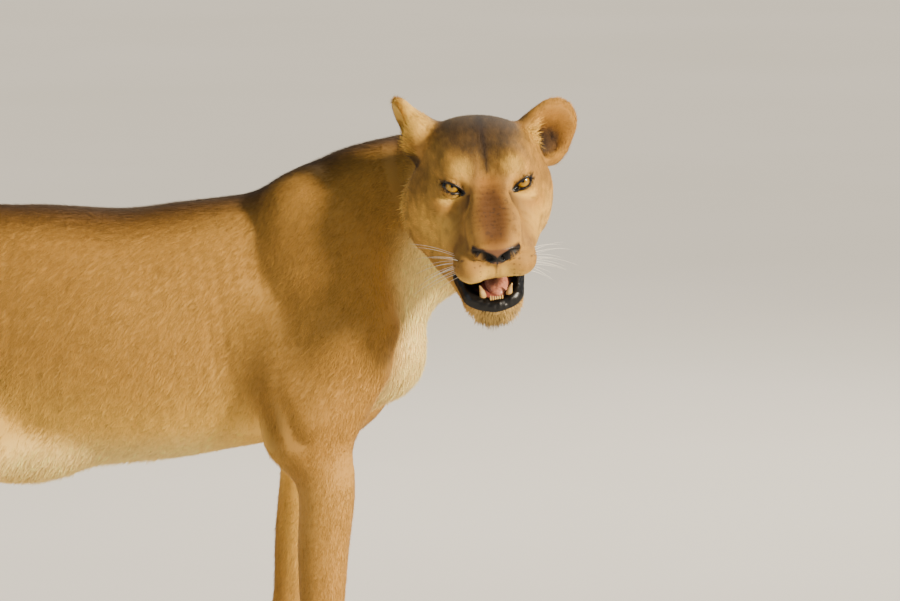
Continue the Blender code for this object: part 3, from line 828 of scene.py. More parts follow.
@dataclass(frozen=True)
class Body:
    """Trunk, neck, legs and tail."""

    neck: Limb = Limb((
        (0.39, 0.0, 0.84, 0.1, 0.15), (0.48, 0.0, 0.878, 0.114, 0.156), (0.57, 0.006, 0.912, 0.1, 0.145),
        (0.64, -0.04, 0.945, 0.09, 0.13), (0.672, -0.11, 0.962, 0.08, 0.105),
    ), blend=0.06)
    trunk: Limb = Limb((
        (-0.545, 0, 0.795, 0.072, 0.08), (-0.5, 0, 0.785, 0.108, 0.125), (-0.42, 0, 0.762, 0.128, 0.172),
        (-0.27, 0, 0.724, 0.136, 0.2), (-0.1, 0, 0.694, 0.165, 0.226), (0.06, 0, 0.694, 0.176, 0.222),
        (0.2, 0, 0.716, 0.158, 0.218), (0.34, 0, 0.738, 0.128, 0.212), (0.44, 0, 0.75, 0.11, 0.188),
        (0.49, 0, 0.755, 0.09, 0.14),
    ))
    pouch: tuple[Mass, ...] = (
        *both(Ball((-0.13, -0.06, 0.5), (0.128, 0.075, 0.06), blend=0.045)),
        *both(Limb(((-0.16, -0.12, 0.53, 0.03, 0.06), (-0.3, -0.13, 0.53, 0.035, 0.06)), blend=0.05)),
    )
    breast: Ball = Ball((0.485, 0, 0.668), (0.08, 0.085, 0.085), blend=0.04)
    legs: tuple[Union[Foreleg, Hindleg], ...] = (
        Foreleg(-1, 0.0), Foreleg(1, -0.1), Hindleg(-1, 0.0), Hindleg(1, 0.09),
    )
    tail: Limb = Limb((
        (-0.57, 0.0, 0.85, 0.036, 0.04), (-0.65, 0.0, 0.822, 0.03, 0.031),
        (-0.718, 0.0, 0.735, 0.026, 0.027), (-0.75, 0.004, 0.6, 0.024, 0.025),
        (-0.762, 0.012, 0.45, 0.023, 0.023), (-0.775, 0.024, 0.32, 0.022, 0.022),
        (-0.808, 0.04, 0.225, 0.023, 0.023), (-0.856, 0.05, 0.175, 0.033, 0.033),
        (-0.905, 0.058, 0.155, 0.02, 0.02),
    ), front=AHEAD, blend=0.065, cap=1.6)
    folds: tuple[Limb, ...] = (
        # Behind the arm
        *both(Limb(((0.33, -0.172, 0.85, 0.004, 0.006), (0.305, -0.176, 0.76, 0.008, 0.009),
            (0.29, -0.176, 0.66, 0.01, 0.01), (0.296, -0.17, 0.6, 0.011, 0.011),
            (0.322, -0.16, 0.545, 0.008, 0.008)), blend=0.022)),
        # Between the muscles of the arm
        *both(Limb(((0.33, -0.19, 0.64, 0.004, 0.005), (0.35, -0.188, 0.59, 0.006, 0.006),
            (0.372, -0.182, 0.545, 0.005, 0.005)), blend=0.018)),
        # Ahead of the thigh
        *both(Limb(((-0.235, -0.16, 0.64, 0.005, 0.006), (-0.262, -0.18, 0.58, 0.008, 0.008),
            (-0.275, -0.182, 0.54, 0.006, 0.006)), blend=0.02)),
    )

    def masses(self) -> list[Mass]:
        """All masses behind the head, in the order in which they run into each other."""
        legs = [mass for leg in self.legs for mass in leg.masses()]
        return [self.trunk, self.neck, *self.pouch, self.breast, *legs, self.tail]


# ---- Colours and how the coat lies ----
class Tone(Enum):
    """The colours of her coat and bare skin."""

    TAN = srgb(192, 145, 66)
    OCHRE = srgb(160, 104, 38)
    UMBER = srgb(93, 57, 19)
    GREY = srgb(80, 58, 28)
    SOOT = srgb(46, 33, 24)
    BLACK = srgb(12, 10, 9)
    CREAM = srgb(240, 192, 88)
    WHITE = srgb(254, 222, 138)
    GUM = srgb(150, 84, 72)
    LEATHER = srgb(112, 74, 46)
    PAD = srgb(58, 46, 42)


class Place(Enum):
    """Whose frame a patch is measured in."""

    BODY = "body"
    HEAD = "head"
    LEFT_EAR = "left ear"
    RIGHT_EAR = "right ear"


@dataclass(frozen=True)
class Patch:
    """A part of the surface, from a soft-edged mass."""

    mass: Mass
    soft: float
    place: Place = Place.BODY

    def share(self, where: dict[Place, Array]) -> Array:
        """How much each point belongs to the patch.

        Args:
            where: The points in each frame.

        Returns:
            One number for each point, from 0 to 1.
        """
        middle, radius = self.mass.reach()
        spots = where[self.place]
        found = np.zeros(len(spots))
        close = near(spots, middle, radius + self.soft)
        found[close] = ease(0.5 - self.mass.distance(spots[close]) / self.soft)
        return found


def on_body(soft: float, *masses: Mass) -> tuple[Patch, ...]:
    """Patches of the body, with their soft edge."""
    return tuple(Patch(mass, soft) for mass in masses)


def on_head(soft: float, mass: Mass) -> tuple[Patch, ...]:
    """A patch of the head that lies across its middle."""
    return (Patch(mass, soft, Place.HEAD),)


def on_cheeks(soft: float, mass: Mass) -> tuple[Patch, ...]:
    """A patch of the head's right side, and the same on its left."""
    return tuple(Patch(m, soft, Place.HEAD) for m in both(mass))


def in_ears(soft: float, mass: Mass) -> tuple[Patch, ...]:
    """The same patch of both ears."""
    return tuple(Patch(mass, soft, place) for place in (Place.LEFT_EAR, Place.RIGHT_EAR))


def in_right_ear(soft: float, mass: Mass) -> tuple[Patch, ...]:
    """A patch of the right ear, which is seen from its side."""
    return (Patch(mass, soft, Place.RIGHT_EAR),)


@dataclass(frozen=True)
class Flecks:
    """Small irregular spots over a patch of the head."""

    patch: Patch
    tone: Tone
    strength: float
    size: float
    seed: Noise
    gain: float  # how crisp they are
    floor: float  # how much of the noise stays clear

    def share(self, where: dict[Place, Array]) -> Array:
        """How much each point is covered, from 0 to 1."""
        spots = ease(cloud(where[Place.HEAD], self.size, self.seed) * self.gain - self.floor)
        return self.strength * spots * self.patch.share(where)


@dataclass(frozen=True)
class MarkingsAndShade:
    """Her colours and painted shade, laid over each other in order."""

    marks: tuple[tuple[tuple[Patch, ...], Tone, float], ...] = (
        # Dark back, with a darker line along the spine
        (on_body(0.1, Limb(((-0.62, 0, 0.85, 0.06, 0.06), (-0.27, 0, 0.935, 0.09, 0.07),
            (0.06, 0, 0.93, 0.1, 0.075), (0.34, 0, 0.985, 0.08, 0.065), (0.48, 0, 1.04, 0.06, 0.05),
            (0.6, 0, 1.06, 0.06, 0.05)))), Tone.UMBER, 0.85),
        (on_body(0.05, Limb(((-0.6, 0, 0.9, 0.03, 0.06), (-0.27, 0, 0.94, 0.035, 0.06),
            (0.06, 0, 0.94, 0.04, 0.06), (0.34, 0, 1.01, 0.035, 0.06), (0.56, 0, 1.08, 0.03, 0.06)))),
            Tone.SOOT, 0.6),
        # Pale belly and pouch
        (on_body(0.1, Limb(((-0.42, 0, 0.54, 0.17, 0.05), (-0.2, 0, 0.49, 0.2, 0.065),
            (0.05, 0, 0.485, 0.21, 0.085), (0.3, 0, 0.51, 0.16, 0.085)))), Tone.CREAM, 0.95),
        (on_body(0.16, Limb(((-0.45, 0, 0.58, 0.2, 0.06), (0.22, 0, 0.56, 0.21, 0.07)))),
            Tone.CREAM, 0.6),
        (on_body(0.08, Limb(((-0.3, 0, 0.49, 0.17, 0.04), (0.25, 0, 0.48, 0.18, 0.06)))),
            Tone.WHITE, 0.8),
        # Pale throat and breast
        (on_body(0.06, Limb(((0.6, -0.12, 0.84, 0.07, 0.06), (0.575, -0.04, 0.78, 0.08, 0.06),
            (0.54, 0, 0.68, 0.085, 0.06), (0.48, -0.01, 0.56, 0.085, 0.06)), AHEAD)), Tone.WHITE, 0.95),
        # Painted shade in the fold behind each arm
        (on_body(0.05, *both(Limb(((0.33, -0.172, 0.85, 0.012, 0.012), (0.298, -0.176, 0.72, 0.016, 0.02),
            (0.296, -0.17, 0.6, 0.018, 0.02), (0.322, -0.16, 0.54, 0.015, 0.015))))), Tone.UMBER, 0.55),
        # Insides of the legs, tail tuft, soles
        (on_body(0.05, Ball((0.37, 0, 0.42), (0.2, 0.105, 0.28))), Tone.CREAM, 0.6),
        (on_body(0.05, Ball((-0.42, 0, 0.45), (0.22, 0.1, 0.28))), Tone.CREAM, 0.6),
        (on_body(0.05, Ball((-0.895, 0.055, 0.16), (0.075, 0.06, 0.06))), Tone.SOOT, 0.92),
        (on_body(0.004, Ball((0, 0, -0.06), (2.0, 1.0, 0.064))), Tone.PAD, 1.0),
        # Grey crown with a dark parting
        (on_head(0.05, Ball((-0.03, 0, 0.1), (0.1, 0.078, 0.055))), Tone.GREY, 0.95),
        (on_head(0.04, Ball((-0.06, 0, 0.105), (0.06, 0.07, 0.04))), Tone.SOOT, 0.35),
        (on_head(0.04, Ball((0.045, 0, 0.07), (0.05, 0.04, 0.03))), Tone.GREY, 0.45),
        (on_head(0.016, Limb(((-0.13, 0, 0.11, 0.006, 0.03), (-0.03, 0, 0.108, 0.007, 0.03),
            (0.04, 0, 0.082, 0.005, 0.03), (0.075, 0, 0.055, 0.003, 0.02)))), Tone.SOOT, 0.9),
        # Round the eyes
        (on_cheeks(0.016, Limb(((0.07, -0.02, 0.06, 0.006, 0.02), (0.1, -0.024, 0.03, 0.007, 0.02)))),
            Tone.UMBER, 0.5),
        (on_cheeks(0.022, Ball((0.07, -0.043, 0.058), (0.02, 0.016, 0.014))), Tone.CREAM, 0.7),
        # Painted shade under each eye, a darker golden patch
        (on_cheeks(0.024, Ball((0.07, -0.078, -0.008), (0.024, 0.02, 0.012), (15, 0, 0))),
            Tone.OCHRE, 0.85),
        (on_cheeks(0.01, Ball((0.08, -0.062, 0.01), (0.02, 0.02, 0.007), (20, 0, 0))), Tone.CREAM, 0.85),
        # Bridge of the nose and the shade beside it
        (on_head(0.02, Limb(((0.09, 0, 0.04, 0.018, 0.03), (0.14, 0, 0.0, 0.022, 0.03),
            (0.18, 0, -0.035, 0.02, 0.02)))), Tone.OCHRE, 0.8),
        (on_head(0.024, Ball((0.14, 0, -0.005), (0.06, 0.034, 0.02), (0, 35, 0))), Tone.UMBER, 0.96),
        (on_cheeks(0.02, Ball((0.092, -0.04, 0.004), (0.016, 0.016, 0.02))), Tone.SOOT, 0.55),
        (on_cheeks(0.024, Limb(((0.1, -0.052, -0.02, 0.012, 0.012),
            (0.135, -0.056, -0.046, 0.012, 0.01)))), Tone.UMBER, 0.35),
        # Cheeks and lip pads
        (on_cheeks(0.05, Ball((0.05, -0.085, -0.045), (0.06, 0.045, 0.045))), Tone.CREAM, 0.4),
        (on_cheeks(0.04, Ball((0.0, -0.11, 0.02), (0.05, 0.04, 0.03))), Tone.UMBER, 0.3),
        (on_cheeks(0.03, Ball((0.14, -0.05, -0.072), (0.05, 0.034, 0.026), (0, 10, -12))),
            Tone.UMBER, 0.3),
        (on_cheeks(0.022, Limb(((0.178, -0.012, -0.088, 0.012, 0.016),
            (0.16, -0.044, -0.098, 0.02, 0.018), (0.11, -0.064, -0.1, 0.02, 0.016)))), Tone.CREAM, 0.85),
        # Line from the eye's corner down the nose
        (on_cheeks(0.01, Limb(((0.088, -0.033, 0.016, 0.003, 0.008), (0.112, -0.038, -0.01, 0.004, 0.008),
            (0.14, -0.042, -0.032, 0.004, 0.008), (0.162, -0.044, -0.05, 0.003, 0.006)))),
            Tone.SOOT, 0.8),
        # Chin, throat and jowls
        (on_head(0.03, Ball((0.11, 0, -0.19), (0.06, 0.06, 0.04))), Tone.WHITE, 0.4),
        (on_head(0.02, Ball((0.115, -0.004, -0.195), (0.045, 0.036, 0.03))), Tone.GREY, 0.6),
        (on_head(0.06, Ball((0.01, 0, -0.155), (0.09, 0.07, 0.05))), Tone.WHITE, 0.7),
        (on_cheeks(0.05, Ball((-0.06, -0.135, -0.06), (0.05, 0.03, 0.07))), Tone.CREAM, 0.45),
        # Ears: dark back, ochre inside, painted shade deep in the hollow, pale front edge
        (in_ears(0.03, Ball((-0.045, 0.025, 0.0), (0.03, 0.045, 0.045))), Tone.SOOT, 0.85),
        (in_ears(0.02, Ball((0.0, 0.03, 0.03), (0.05, 0.07, 0.075))), Tone.OCHRE, 0.25),
        (in_ears(0.02, Ball((0.002, 0.03, 0.028), (0.02, 0.032, 0.036))), Tone.OCHRE, 0.25),
        # Painted shade, darkest deep in the hollow
        (in_ears(0.016, Ball((0.0, 0.026, 0.012), (0.028, 0.026, 0.03), (25, 0, 0))), Tone.UMBER, 0.7),
        (in_ears(0.01, Ball((0.004, 0.02, 0.002), (0.028, 0.022, 0.022), (25, 0, 0))), Tone.SOOT, 1.0),
        (in_ears(0.012, Ball((0.026, -0.01, 0.01), (0.02, 0.01, 0.04))), Tone.CREAM, 0.6),
        (in_right_ear(0.03, Ball((0.0, 0.02, 0.065), (0.05, 0.07, 0.055))), Tone.CREAM, 0.9),
        # Painted shade inside the right ear's cavity, seen from the side
        (in_right_ear(0.014, Ball((0.022, 0.0, -0.022), (0.026, 0.03, 0.02))), Tone.SOOT, 0.85),
        (in_right_ear(0.016, Ball((-0.02, -0.03, -0.018), (0.02, 0.02, 0.018))), Tone.GREY, 0.7),
    )
    flecks: tuple[Flecks, ...] = (
        Flecks(Patch(Ball((0.09, 0, -0.01), (0.11, 0.12, 0.09)), 0.05, Place.HEAD),
               Tone.UMBER, 0.3, 0.012, Noise.FACE_MOTTLE, 3, 1.6),
        Flecks(Patch(Ball((0.13, 0, 0.0), (0.06, 0.04, 0.04)), 0.03, Place.HEAD),
               Tone.SOOT, 0.5, 0.0035, Noise.FRECKLES, 5, 3.3),
        Flecks(Patch(Ball((-0.02, 0, 0.1), (0.1, 0.08, 0.05)), 0.05, Place.HEAD),
               Tone.SOOT, 0.45, 0.007, Noise.GRIZZLE, 2.4, 0.9),
    )
    spot_rows: tuple[float, ...] = (-0.062, -0.072, -0.082, -0.091)  # heights of the spots at the whiskers
    spot_front: Point = (0.016, 0.0026, 0.002)  # their sizes on the front of a lip pad and beside it
    spot_side: Point = (0.0026, 0.02, 0.0022)
    leather: Patch = Patch(Limb((
        (0.174, -0.034, -0.041, 0.02, 0.005), (0.19, -0.02, -0.047, 0.02, 0.01),
        (0.196, 0, -0.053, 0.02, 0.015),
        (0.19, 0.02, -0.047, 0.02, 0.01), (0.174, 0.034, -0.041, 0.02, 0.005),
    )), 0.004, Place.HEAD)
    # Black nostrils: the dark skin of their rims, and painted shade deep in the pits
    nostrils: tuple[Patch, ...] = on_cheeks(
        0.004, Ball((0.18, -0.0205, -0.052), (0.034, 0.018, 0.0084), (-30, 0, 32)))
    groove: Patch = Patch(
        Limb(((0.2, 0, -0.062, 0.0018, 0.014), (0.19, 0, -0.104, 0.0018, 0.014))), 0.003, Place.HEAD)
    bare_tones: tuple[tuple[str, Tone], ...] = (
        ("lid", Tone.BLACK), ("leather", Tone.LEATHER), ("nostril", Tone.BLACK), ("groove", Tone.BLACK),
        ("lip", Tone.BLACK), ("inside", Tone.GUM),
    )
    tear: Point = (0.014, -0.0195, -0.003)  # the inner corner from the eye's middle: out, to the temple, up
    tear_size: Point = (0.01, 0.0065, 0.006)
    rim: float = 0.0064  # width of the dark rim of the lids, with its soft edge
    rim_edge: float = 0.0016
    mouth_around: tuple[Point, float] = ((0.1, 0, -0.13), 0.12)  # where lips and gums are looked for
    lip_edge: float = 0.003  # soft edge of the dark lip
    upper_lip: float = 0.0035  # how far the dark lip reaches from the mouth
    lower_lip: tuple[float, float] = (0.0135, 0.004)  # how much further below it, steady and uneven
    lip_slope: tuple[float, float, float] = (-0.127, -0.21, 0.135)  # height, fall and start of the lower lip

    def colours(self, where: dict[Place, Array], head: Head) -> tuple[Array, Array]:
        """The colour of each point, and how wet and bare it is.

        Args:
            where: The points in each frame.
            head: The head, for the lids and lips.

        Returns:
            Linear colours, and one number each from 0, furred, to 1, wet.
        """
        body, face = where[Place.BODY], where[Place.HEAD]
        rgb = np.tile(np.array(Tone.TAN.value), (len(body), 1))

        def lay(share: Array, tone: Tone) -> None:
            """Lays a colour over what is there."""
            rgb[:] += share[:, None] * (np.array(tone.value) - rgb)

        lay(0.26 * cloud(body, 0.15, Noise.TONES) + 0.1 * cloud(body, 0.06, Noise.SMALL_TONES), Tone.OCHRE)
        for patches, tone, strength in self.marks:
            for patch in patches:
                lay(strength * patch.share(where), tone)
        lay(0.08 * ease(cloud(body, 0.03, Noise.MOTTLE) * 3 - 1.8), Tone.UMBER)
        for flecks in self.flecks:
            lay(flecks.share(where), flecks.tone)
        for spot in self.whisker_spots():
            lay(0.75 * spot.share(where), Tone.SOOT)
        bare = self.bare(where, head)
        for part, tone in self.bare_tones:
            lay(bare[part], tone)
        dark = np.abs(face[:, 1]) - 0.003 - 0.55 * np.clip(face[:, 2] + 0.064, 0, 1)
        lay(bare["leather"] * 0.92 * ease(dark / 0.006), Tone.BLACK)  # leaves a brown V on the nose
        wet = np.maximum.reduce(list(bare.values())) * (1 - 0.85 * bare["nostril"])
        return np.clip(rgb, 0.0, 1.0), wet

    def whisker_spots(self) -> list[Patch]:
        """Rows of small dark spots on the lip pads, where whiskers grow.

        Returns:
            One patch for each spot.
        """
        found = []
        for side in SIDES:
            for row, height in enumerate(self.spot_rows):
                for k in range(-2, 5):
                    front = k < 0
                    out = side * (0.046 + (0.009 if front else 0.004) * k)
                    spot = (0.174 - 0.0075 * k * (not front) - 0.002 * row, out, height - 0.0015 * k)
                    size = self.spot_front if front else self.spot_side
                    found.append(Patch(Ball(spot, size), 0.003, Place.HEAD))
        return found

    def bare(self, where: dict[Place, Array], head: Head) -> dict[str, Array]:
        """The parts without fur: rims of the lids, nose, lips, mouth and soles.

        Args:
            where: The points in each frame.
            head: The head.

        Returns:
            For each part, how much each point belongs to it, from 0 to 1.
        """
        face = where[Place.HEAD]
        found = {part: np.zeros(len(face)) for part in ("lid", "lip", "inside")}
        for side in SIDES:
            close = near(face, head.lids.middle(side), head.lids.around)
            almond, out = head.lids.opening(face[close], side)
            tear = head.lids.middle(side) + head.lids.axes(side).T @ np.array(self.tear)
            corner = Ball(tuple(tear), self.tear_size).distance(face[close])
            rim = ease((self.rim - almond) / self.rim_edge)
            rim = np.maximum(rim, ease(0.5 - corner / 0.003)) * (out > 0)
            found["lid"][close] = np.maximum(found["lid"][close], rim)
        found["leather"] = self.leather.share(where)
        found["nostril"] = np.max([patch.share(where) for patch in self.nostrils], axis=0)
        found["groove"] = self.groove.share(where)
        close = near(face, *self.mouth_around)
        spots = face[close]
        gap = head.mouth.distance(spots)
        height, fall, start = self.lip_slope
        steady, uneven = self.lower_lip
        under = ease((height + fall * (spots[:, 0] - start) - spots[:, 2]) / 0.006 + 0.5)
        reach = self.upper_lip + under * (steady + uneven * cloud(spots, 0.02, Noise.LIP_EDGE))
        found["lip"][close] = ease((reach - gap) / self.lip_edge + 0.5) * (spots[:, 0] > 0.03)
        gums = ease(0.5 - head.gums.distance(spots) / 0.004)
        inside = ease((-head.shell(spots) - 0.012) / 0.006) * ease((0.004 - gap) / 0.002)
        found["inside"][close] = np.maximum(inside, gums)
        found["sole"] = ease((0.004 - where[Place.BODY][:, 2]) / 0.002)
        return found


@dataclass(frozen=True)
class Growth:
    """How hair grows. A size left out stays as it is round the patch."""

    depth: Optional[float] = None  # from the skin to the coat's surface
    length: Optional[float] = None
    width: Optional[float] = None
    lift: Optional[float] = None  # degrees off the skin
    cover: Optional[float] = None  # how many hairs deep it is
    flow: Optional[Point] = None  # the way it lies, in the patch's frame


@dataclass(frozen=True)
class Lie:
    """How her coat lies, patch over patch."""

    base: Growth = Growth(0.0045, 0.013, 0.00125, 15.0, 2.2, (-0.55, 0.0, -1.0))
    patches: tuple[tuple[tuple[Patch, ...], Growth], ...] = (
        # Back
        (on_body(0.12, Limb(((-0.6, 0, 0.87, 0.04, 0.04), (0.6, 0, 0.98, 0.04, 0.08)))),
            Growth(flow=(-0.9, 0, -0.45))),
        # Belly
        (on_body(0.06, Limb(((-0.36, 0, 0.5, 0.13, 0.05), (0.1, 0, 0.47, 0.14, 0.05)))),
            Growth(0.008, 0.022, 0.0014, 20, flow=(-0.5, 0, -0.9))),
        # Throat and breast
        (on_body(0.06, Limb(((0.62, -0.14, 0.83, 0.07, 0.05), (0.56, -0.03, 0.76, 0.075, 0.05),
            (0.47, 0, 0.56, 0.06, 0.05)), AHEAD)), Growth(0.007, 0.019, 0.0014, 19, flow=(-0.1, 0, -1))),
        # Forelegs, hind legs, feet
        (on_body(0.08, *both(Limb(((0.4, 0.12, 0.55, 0.09, 0.09), (0.4, 0.12, 0.02, 0.09, 0.09)), AHEAD))),
            Growth(0.0035, 0.01, 0.0012, 14, flow=(-0.15, 0, -1))),
        (on_body(0.1, Limb(((-0.4, 0, 0.6, 0.24, 0.14), (-0.5, 0, 0.25, 0.24, 0.12),
            (-0.45, 0, 0.02, 0.24, 0.12)), AHEAD)),
            Growth(0.004, 0.011, 0.0012, 15, flow=(-0.35, 0, -1))),
        (on_body(0.04, Ball((0, 0, 0.0), (2.0, 1.0, 0.06))),
            Growth(0.003, 0.007, 0.0012, 18, flow=(0.6, 0, -0.7))),
        # Tail and its tuft
        (on_body(0.06, Limb(((-0.62, 0, 0.84, 0.06, 0.06), (-0.7, 0, 0.78, 0.06, 0.06)))),
            Growth(flow=(-0.8, 0, -0.6))),
        (on_body(0.04, Limb(((-0.74, 0, 0.74, 0.07, 0.07), (-0.77, 0.02, 0.28, 0.07, 0.07)), AHEAD)),
            Growth(0.004, 0.012, 0.0012, 14, flow=(-0.1, 0.05, -1))),
        (on_body(0.04, Limb(((-0.82, 0.04, 0.21, 0.05, 0.05), (-0.93, 0.06, 0.15, 0.06, 0.06)))),
            Growth(0.012, 0.04, 0.0018, 15, flow=(-1, 0.12, -0.45))),
        # Head, finer on the face
        (on_head(0.06, Ball((0.02, 0, -0.02), (0.24, 0.17, 0.17))), Growth(0.003, 0.0075, 0.0011, 17)),
        (on_head(0.04, Ball((0.13, 0, -0.05), (0.12, 0.09, 0.1))), Growth(0.002, 0.0045, 0.0009, 16)),
        # Jowls, throat, chin
        (on_cheeks(0.04, Ball((-0.075, -0.13, -0.06), (0.055, 0.04, 0.085))),
            Growth(0.01, 0.026, 0.0015, 24, flow=(-0.75, -0.25, -0.7))),
        (on_head(0.04, Ball((0.0, 0, -0.165), (0.1, 0.07, 0.05))),
            Growth(0.008, 0.02, 0.0015, 24, flow=(-0.5, 0, -0.8))),
        (on_head(0.02, Ball((0.105, 0, -0.192), (0.06, 0.056, 0.036))),
            Growth(0.007, 0.019, 0.0013, 38, flow=(-0.35, 0, -0.8))),
        # Ears: outside, hollow, front edge
        (in_ears(0.02, Ball((-0.012, 0.03, 0.03), (0.045, 0.065, 0.075))),
            Growth(0.0025, 0.009, 0.0011, 18, flow=(0, 0.25, 1))),
        (in_ears(0.014, Ball((0.012, 0.03, 0.03), (0.024, 0.044, 0.052))),
            Growth(0.002, 0.009, 0.001, 26, 3.5, (0.2, 0.35, 1))),
        (in_ears(0.012, Ball((0.02, -0.012, 0.01), (0.024, 0.012, 0.04))),
            Growth(0.003, 0.022, 0.0011, 26, flow=(0.2, 0.9, 0.7))),
        (in_right_ear(0.02, Ball((0.01, 0.02, 0.06), (0.03, 0.05, 0.036))),
            Growth(0.003, 0.015, 0.0012, 14, flow=(0.25, 0.0, 1))),
    )
    nose: Point = (0.3, 0.0, -0.075)  # the head's hair lies away from here
    head_area: Patch = Patch(Ball((0.03, 0, -0.03), (0.27, 0.19, 0.2)), 0.1, Place.HEAD)

    def grown(self, where: dict[Place, Array], turns: dict[Place, Array]) -> dict[str, Array]:
        """The hair's sizes and lie at each point.

        Args:
            where: The points in each frame.
            turns: The axes of each frame, as columns.

        Returns:
            Arrays depth, length, width, lift, cover and flow.
        """
        count = len(where[Place.BODY])
        sizes = ("depth", "length", "width", "lift", "cover")
        found = {key: np.full(count, getattr(self.base, key)) for key in sizes}
        flow = np.tile(self.base.flow, (count, 1))
        away = unit(where[Place.HEAD] - np.array(self.nose)) @ turns[Place.HEAD].T
        flow += self.head_area.share(where)[:, None] * (away - flow)
        for patches, growth in self.patches:
            for patch in patches:
                share = patch.share(where)
                for key in sizes:
                    value = getattr(growth, key)
                    if value is not None:
                        found[key] += share * (value - found[key])
                if growth.flow is not None:
                    lie = unit(np.array(growth.flow, float)) @ turns[patch.place].T
                    flow += share[:, None] * (lie - flow)
        found["flow"] = flow
        return found


# ---- Finishes ----
Link = tuple[bpy.types.Node, str, bpy.types.Node, Union[str, int]]


def add_node(tree: bpy.types.NodeTree, kind: str, **settings: object) -> bpy.types.Node:
    """Adds a node to a material.

    Args:
        tree: The material's nodes.
        kind: The node's type.
        settings: Its properties, or its inputs where the name is one of theirs.

    Returns:
        The new node.
    """
    node = tree.nodes.new(kind)
    for key, value in settings.items():
        if hasattr(node, key):
            setattr(node, key, value)
        else:
            node.inputs[key.replace("_", " ")].default_value = value
    return node


def wire(tree: bpy.types.NodeTree, *links: Link) -> None:
    """Links nodes of a material: a node, its output, the node that it feeds and that one's input."""
    for source, output, target, entry in links:
        tree.links.new(source.outputs[output], target.inputs[entry])


def ramp(node: bpy.types.Node, *stops: tuple[float, Colour]) -> None:
    """Sets the stops of a colour ramp.

    Args:
        node: The ramp.
        stops: Each is a position from 0 to 1 and a colour.
    """
    elements = node.color_ramp.elements
    while len(elements) > 1:
        elements.remove(elements[-1])
    elements[0].position, elements[0].color = stops[0][0], (*stops[0][1], 1.0)
    for position, colour in stops[1:]:
        elements.new(position).color = (*colour, 1.0)


@dataclass(frozen=True)
class Finish:
    """A finish. Its numbers are the same all over, and each kind paints nodes of its own."""

    name: str
    colour: Colour = (0.5, 0.5, 0.5)
    roughness: float = 0.6
    specular: float = 0.4
    coat: float = 0.0
    sheen: float = 0.0
    sheen_tint: Colour = (1.0, 1.0, 1.0)

    def dress(self, shape: bpy.types.Object) -> None:
        """Gives a new material of the finish to a piece."""
        shape.data.materials.append(self.material())

    def material(self) -> bpy.types.Material:
        """Makes a material of the finish.

        Returns:
            The new material.
        """
        made = bpy.data.materials.new(self.name)
        made.use_nodes = True
        shader = made.node_tree.nodes["Principled BSDF"]
        settings = {
            "Base Color": (*self.colour, 1.0), "Roughness": self.roughness,
            "Specular IOR Level": self.specular, "Coat Weight": self.coat, "Coat Roughness": 0.05,
            "Sheen Weight": self.sheen, "Sheen Roughness": 0.45, "Sheen Tint": (*self.sheen_tint, 1.0),
        }
        for key, value in settings.items():
            shader.inputs[key].default_value = value
        self.paint(made.node_tree, shader)
        return made

    def paint(self, tree: bpy.types.NodeTree, shader: bpy.types.Node) -> None:
        """Adds the nodes that the finish has of its own.

        Args:
            tree: The material's nodes.
            shader: The one that they lead to.
        """


@dataclass(frozen=True)
class CoatFinish(Finish):
    """Hair: its colour is painted on each tuft, and all pieces of the coat share one material."""

    name: str = "coat"
    roughness: float = 0.66
    specular: float = 0.16
    sheen: float = 0.06
    sheen_tint: Colour = (1.0, 0.86, 0.66)

    def dress(self, shape: bpy.types.Object) -> None:
        """Gives the coat's one material to a piece."""
        shape.data.materials.append(bpy.data.materials.get(self.name) or self.material())

    def paint(self, tree: bpy.types.NodeTree, shader: bpy.types.Node) -> None:
        """Takes the colour from the tufts."""
        colour = add_node(tree, "ShaderNodeAttribute", attribute_name="markings_and_shade")
        wire(tree, (colour, "Color", shader, "Base Color"))


@dataclass(frozen=True)
class SkinFinish(Finish):
    """Skin under short fur, and bare wet leather on the nose, lids and lips."""

    name: str = "skin"
    dry: float = 0.75  # roughness under fur
    wet: float = 0.34

    def paint(self, tree: bpy.types.NodeTree, shader: bpy.types.Node) -> None:
        """Takes colour and wetness from the skin, and adds a fine grain."""
        colour = add_node(tree, "ShaderNodeAttribute", attribute_name="markings_and_shade")
        bare = add_node(tree, "ShaderNodeAttribute", attribute_name="wet")
        gloss = add_node(tree, "ShaderNodeMapRange", To_Min=self.dry, To_Max=self.wet)
        place = add_node(tree, "ShaderNodeTexCoord")
        stubble = add_node(tree, "ShaderNodeTexNoise", Scale=420.0, Detail=3.0)
        pebbles = add_node(tree, "ShaderNodeTexVoronoi", Scale=900.0)
        grain = add_node(tree, "ShaderNodeMix", data_type="FLOAT")
        bump = add_node(tree, "ShaderNodeBump", Strength=0.2, Distance=0.0005)
        wire(
            tree,
            (colour, "Color", shader, "Base Color"),
            (bare, "Fac", gloss, "Value"),
            (gloss, "Result", shader, "Roughness"),
            (place, "Object", stubble, "Vector"),
            (place, "Object", pebbles, "Vector"),
            (bare, "Fac", grain, "Factor"),
            (stubble, "Fac", grain, "A"),
            (pebbles, "Distance", grain, "B"),
            (grain, "Result", bump, "Height"),
            (bump, "Normal", shader, "Normal"),
        )


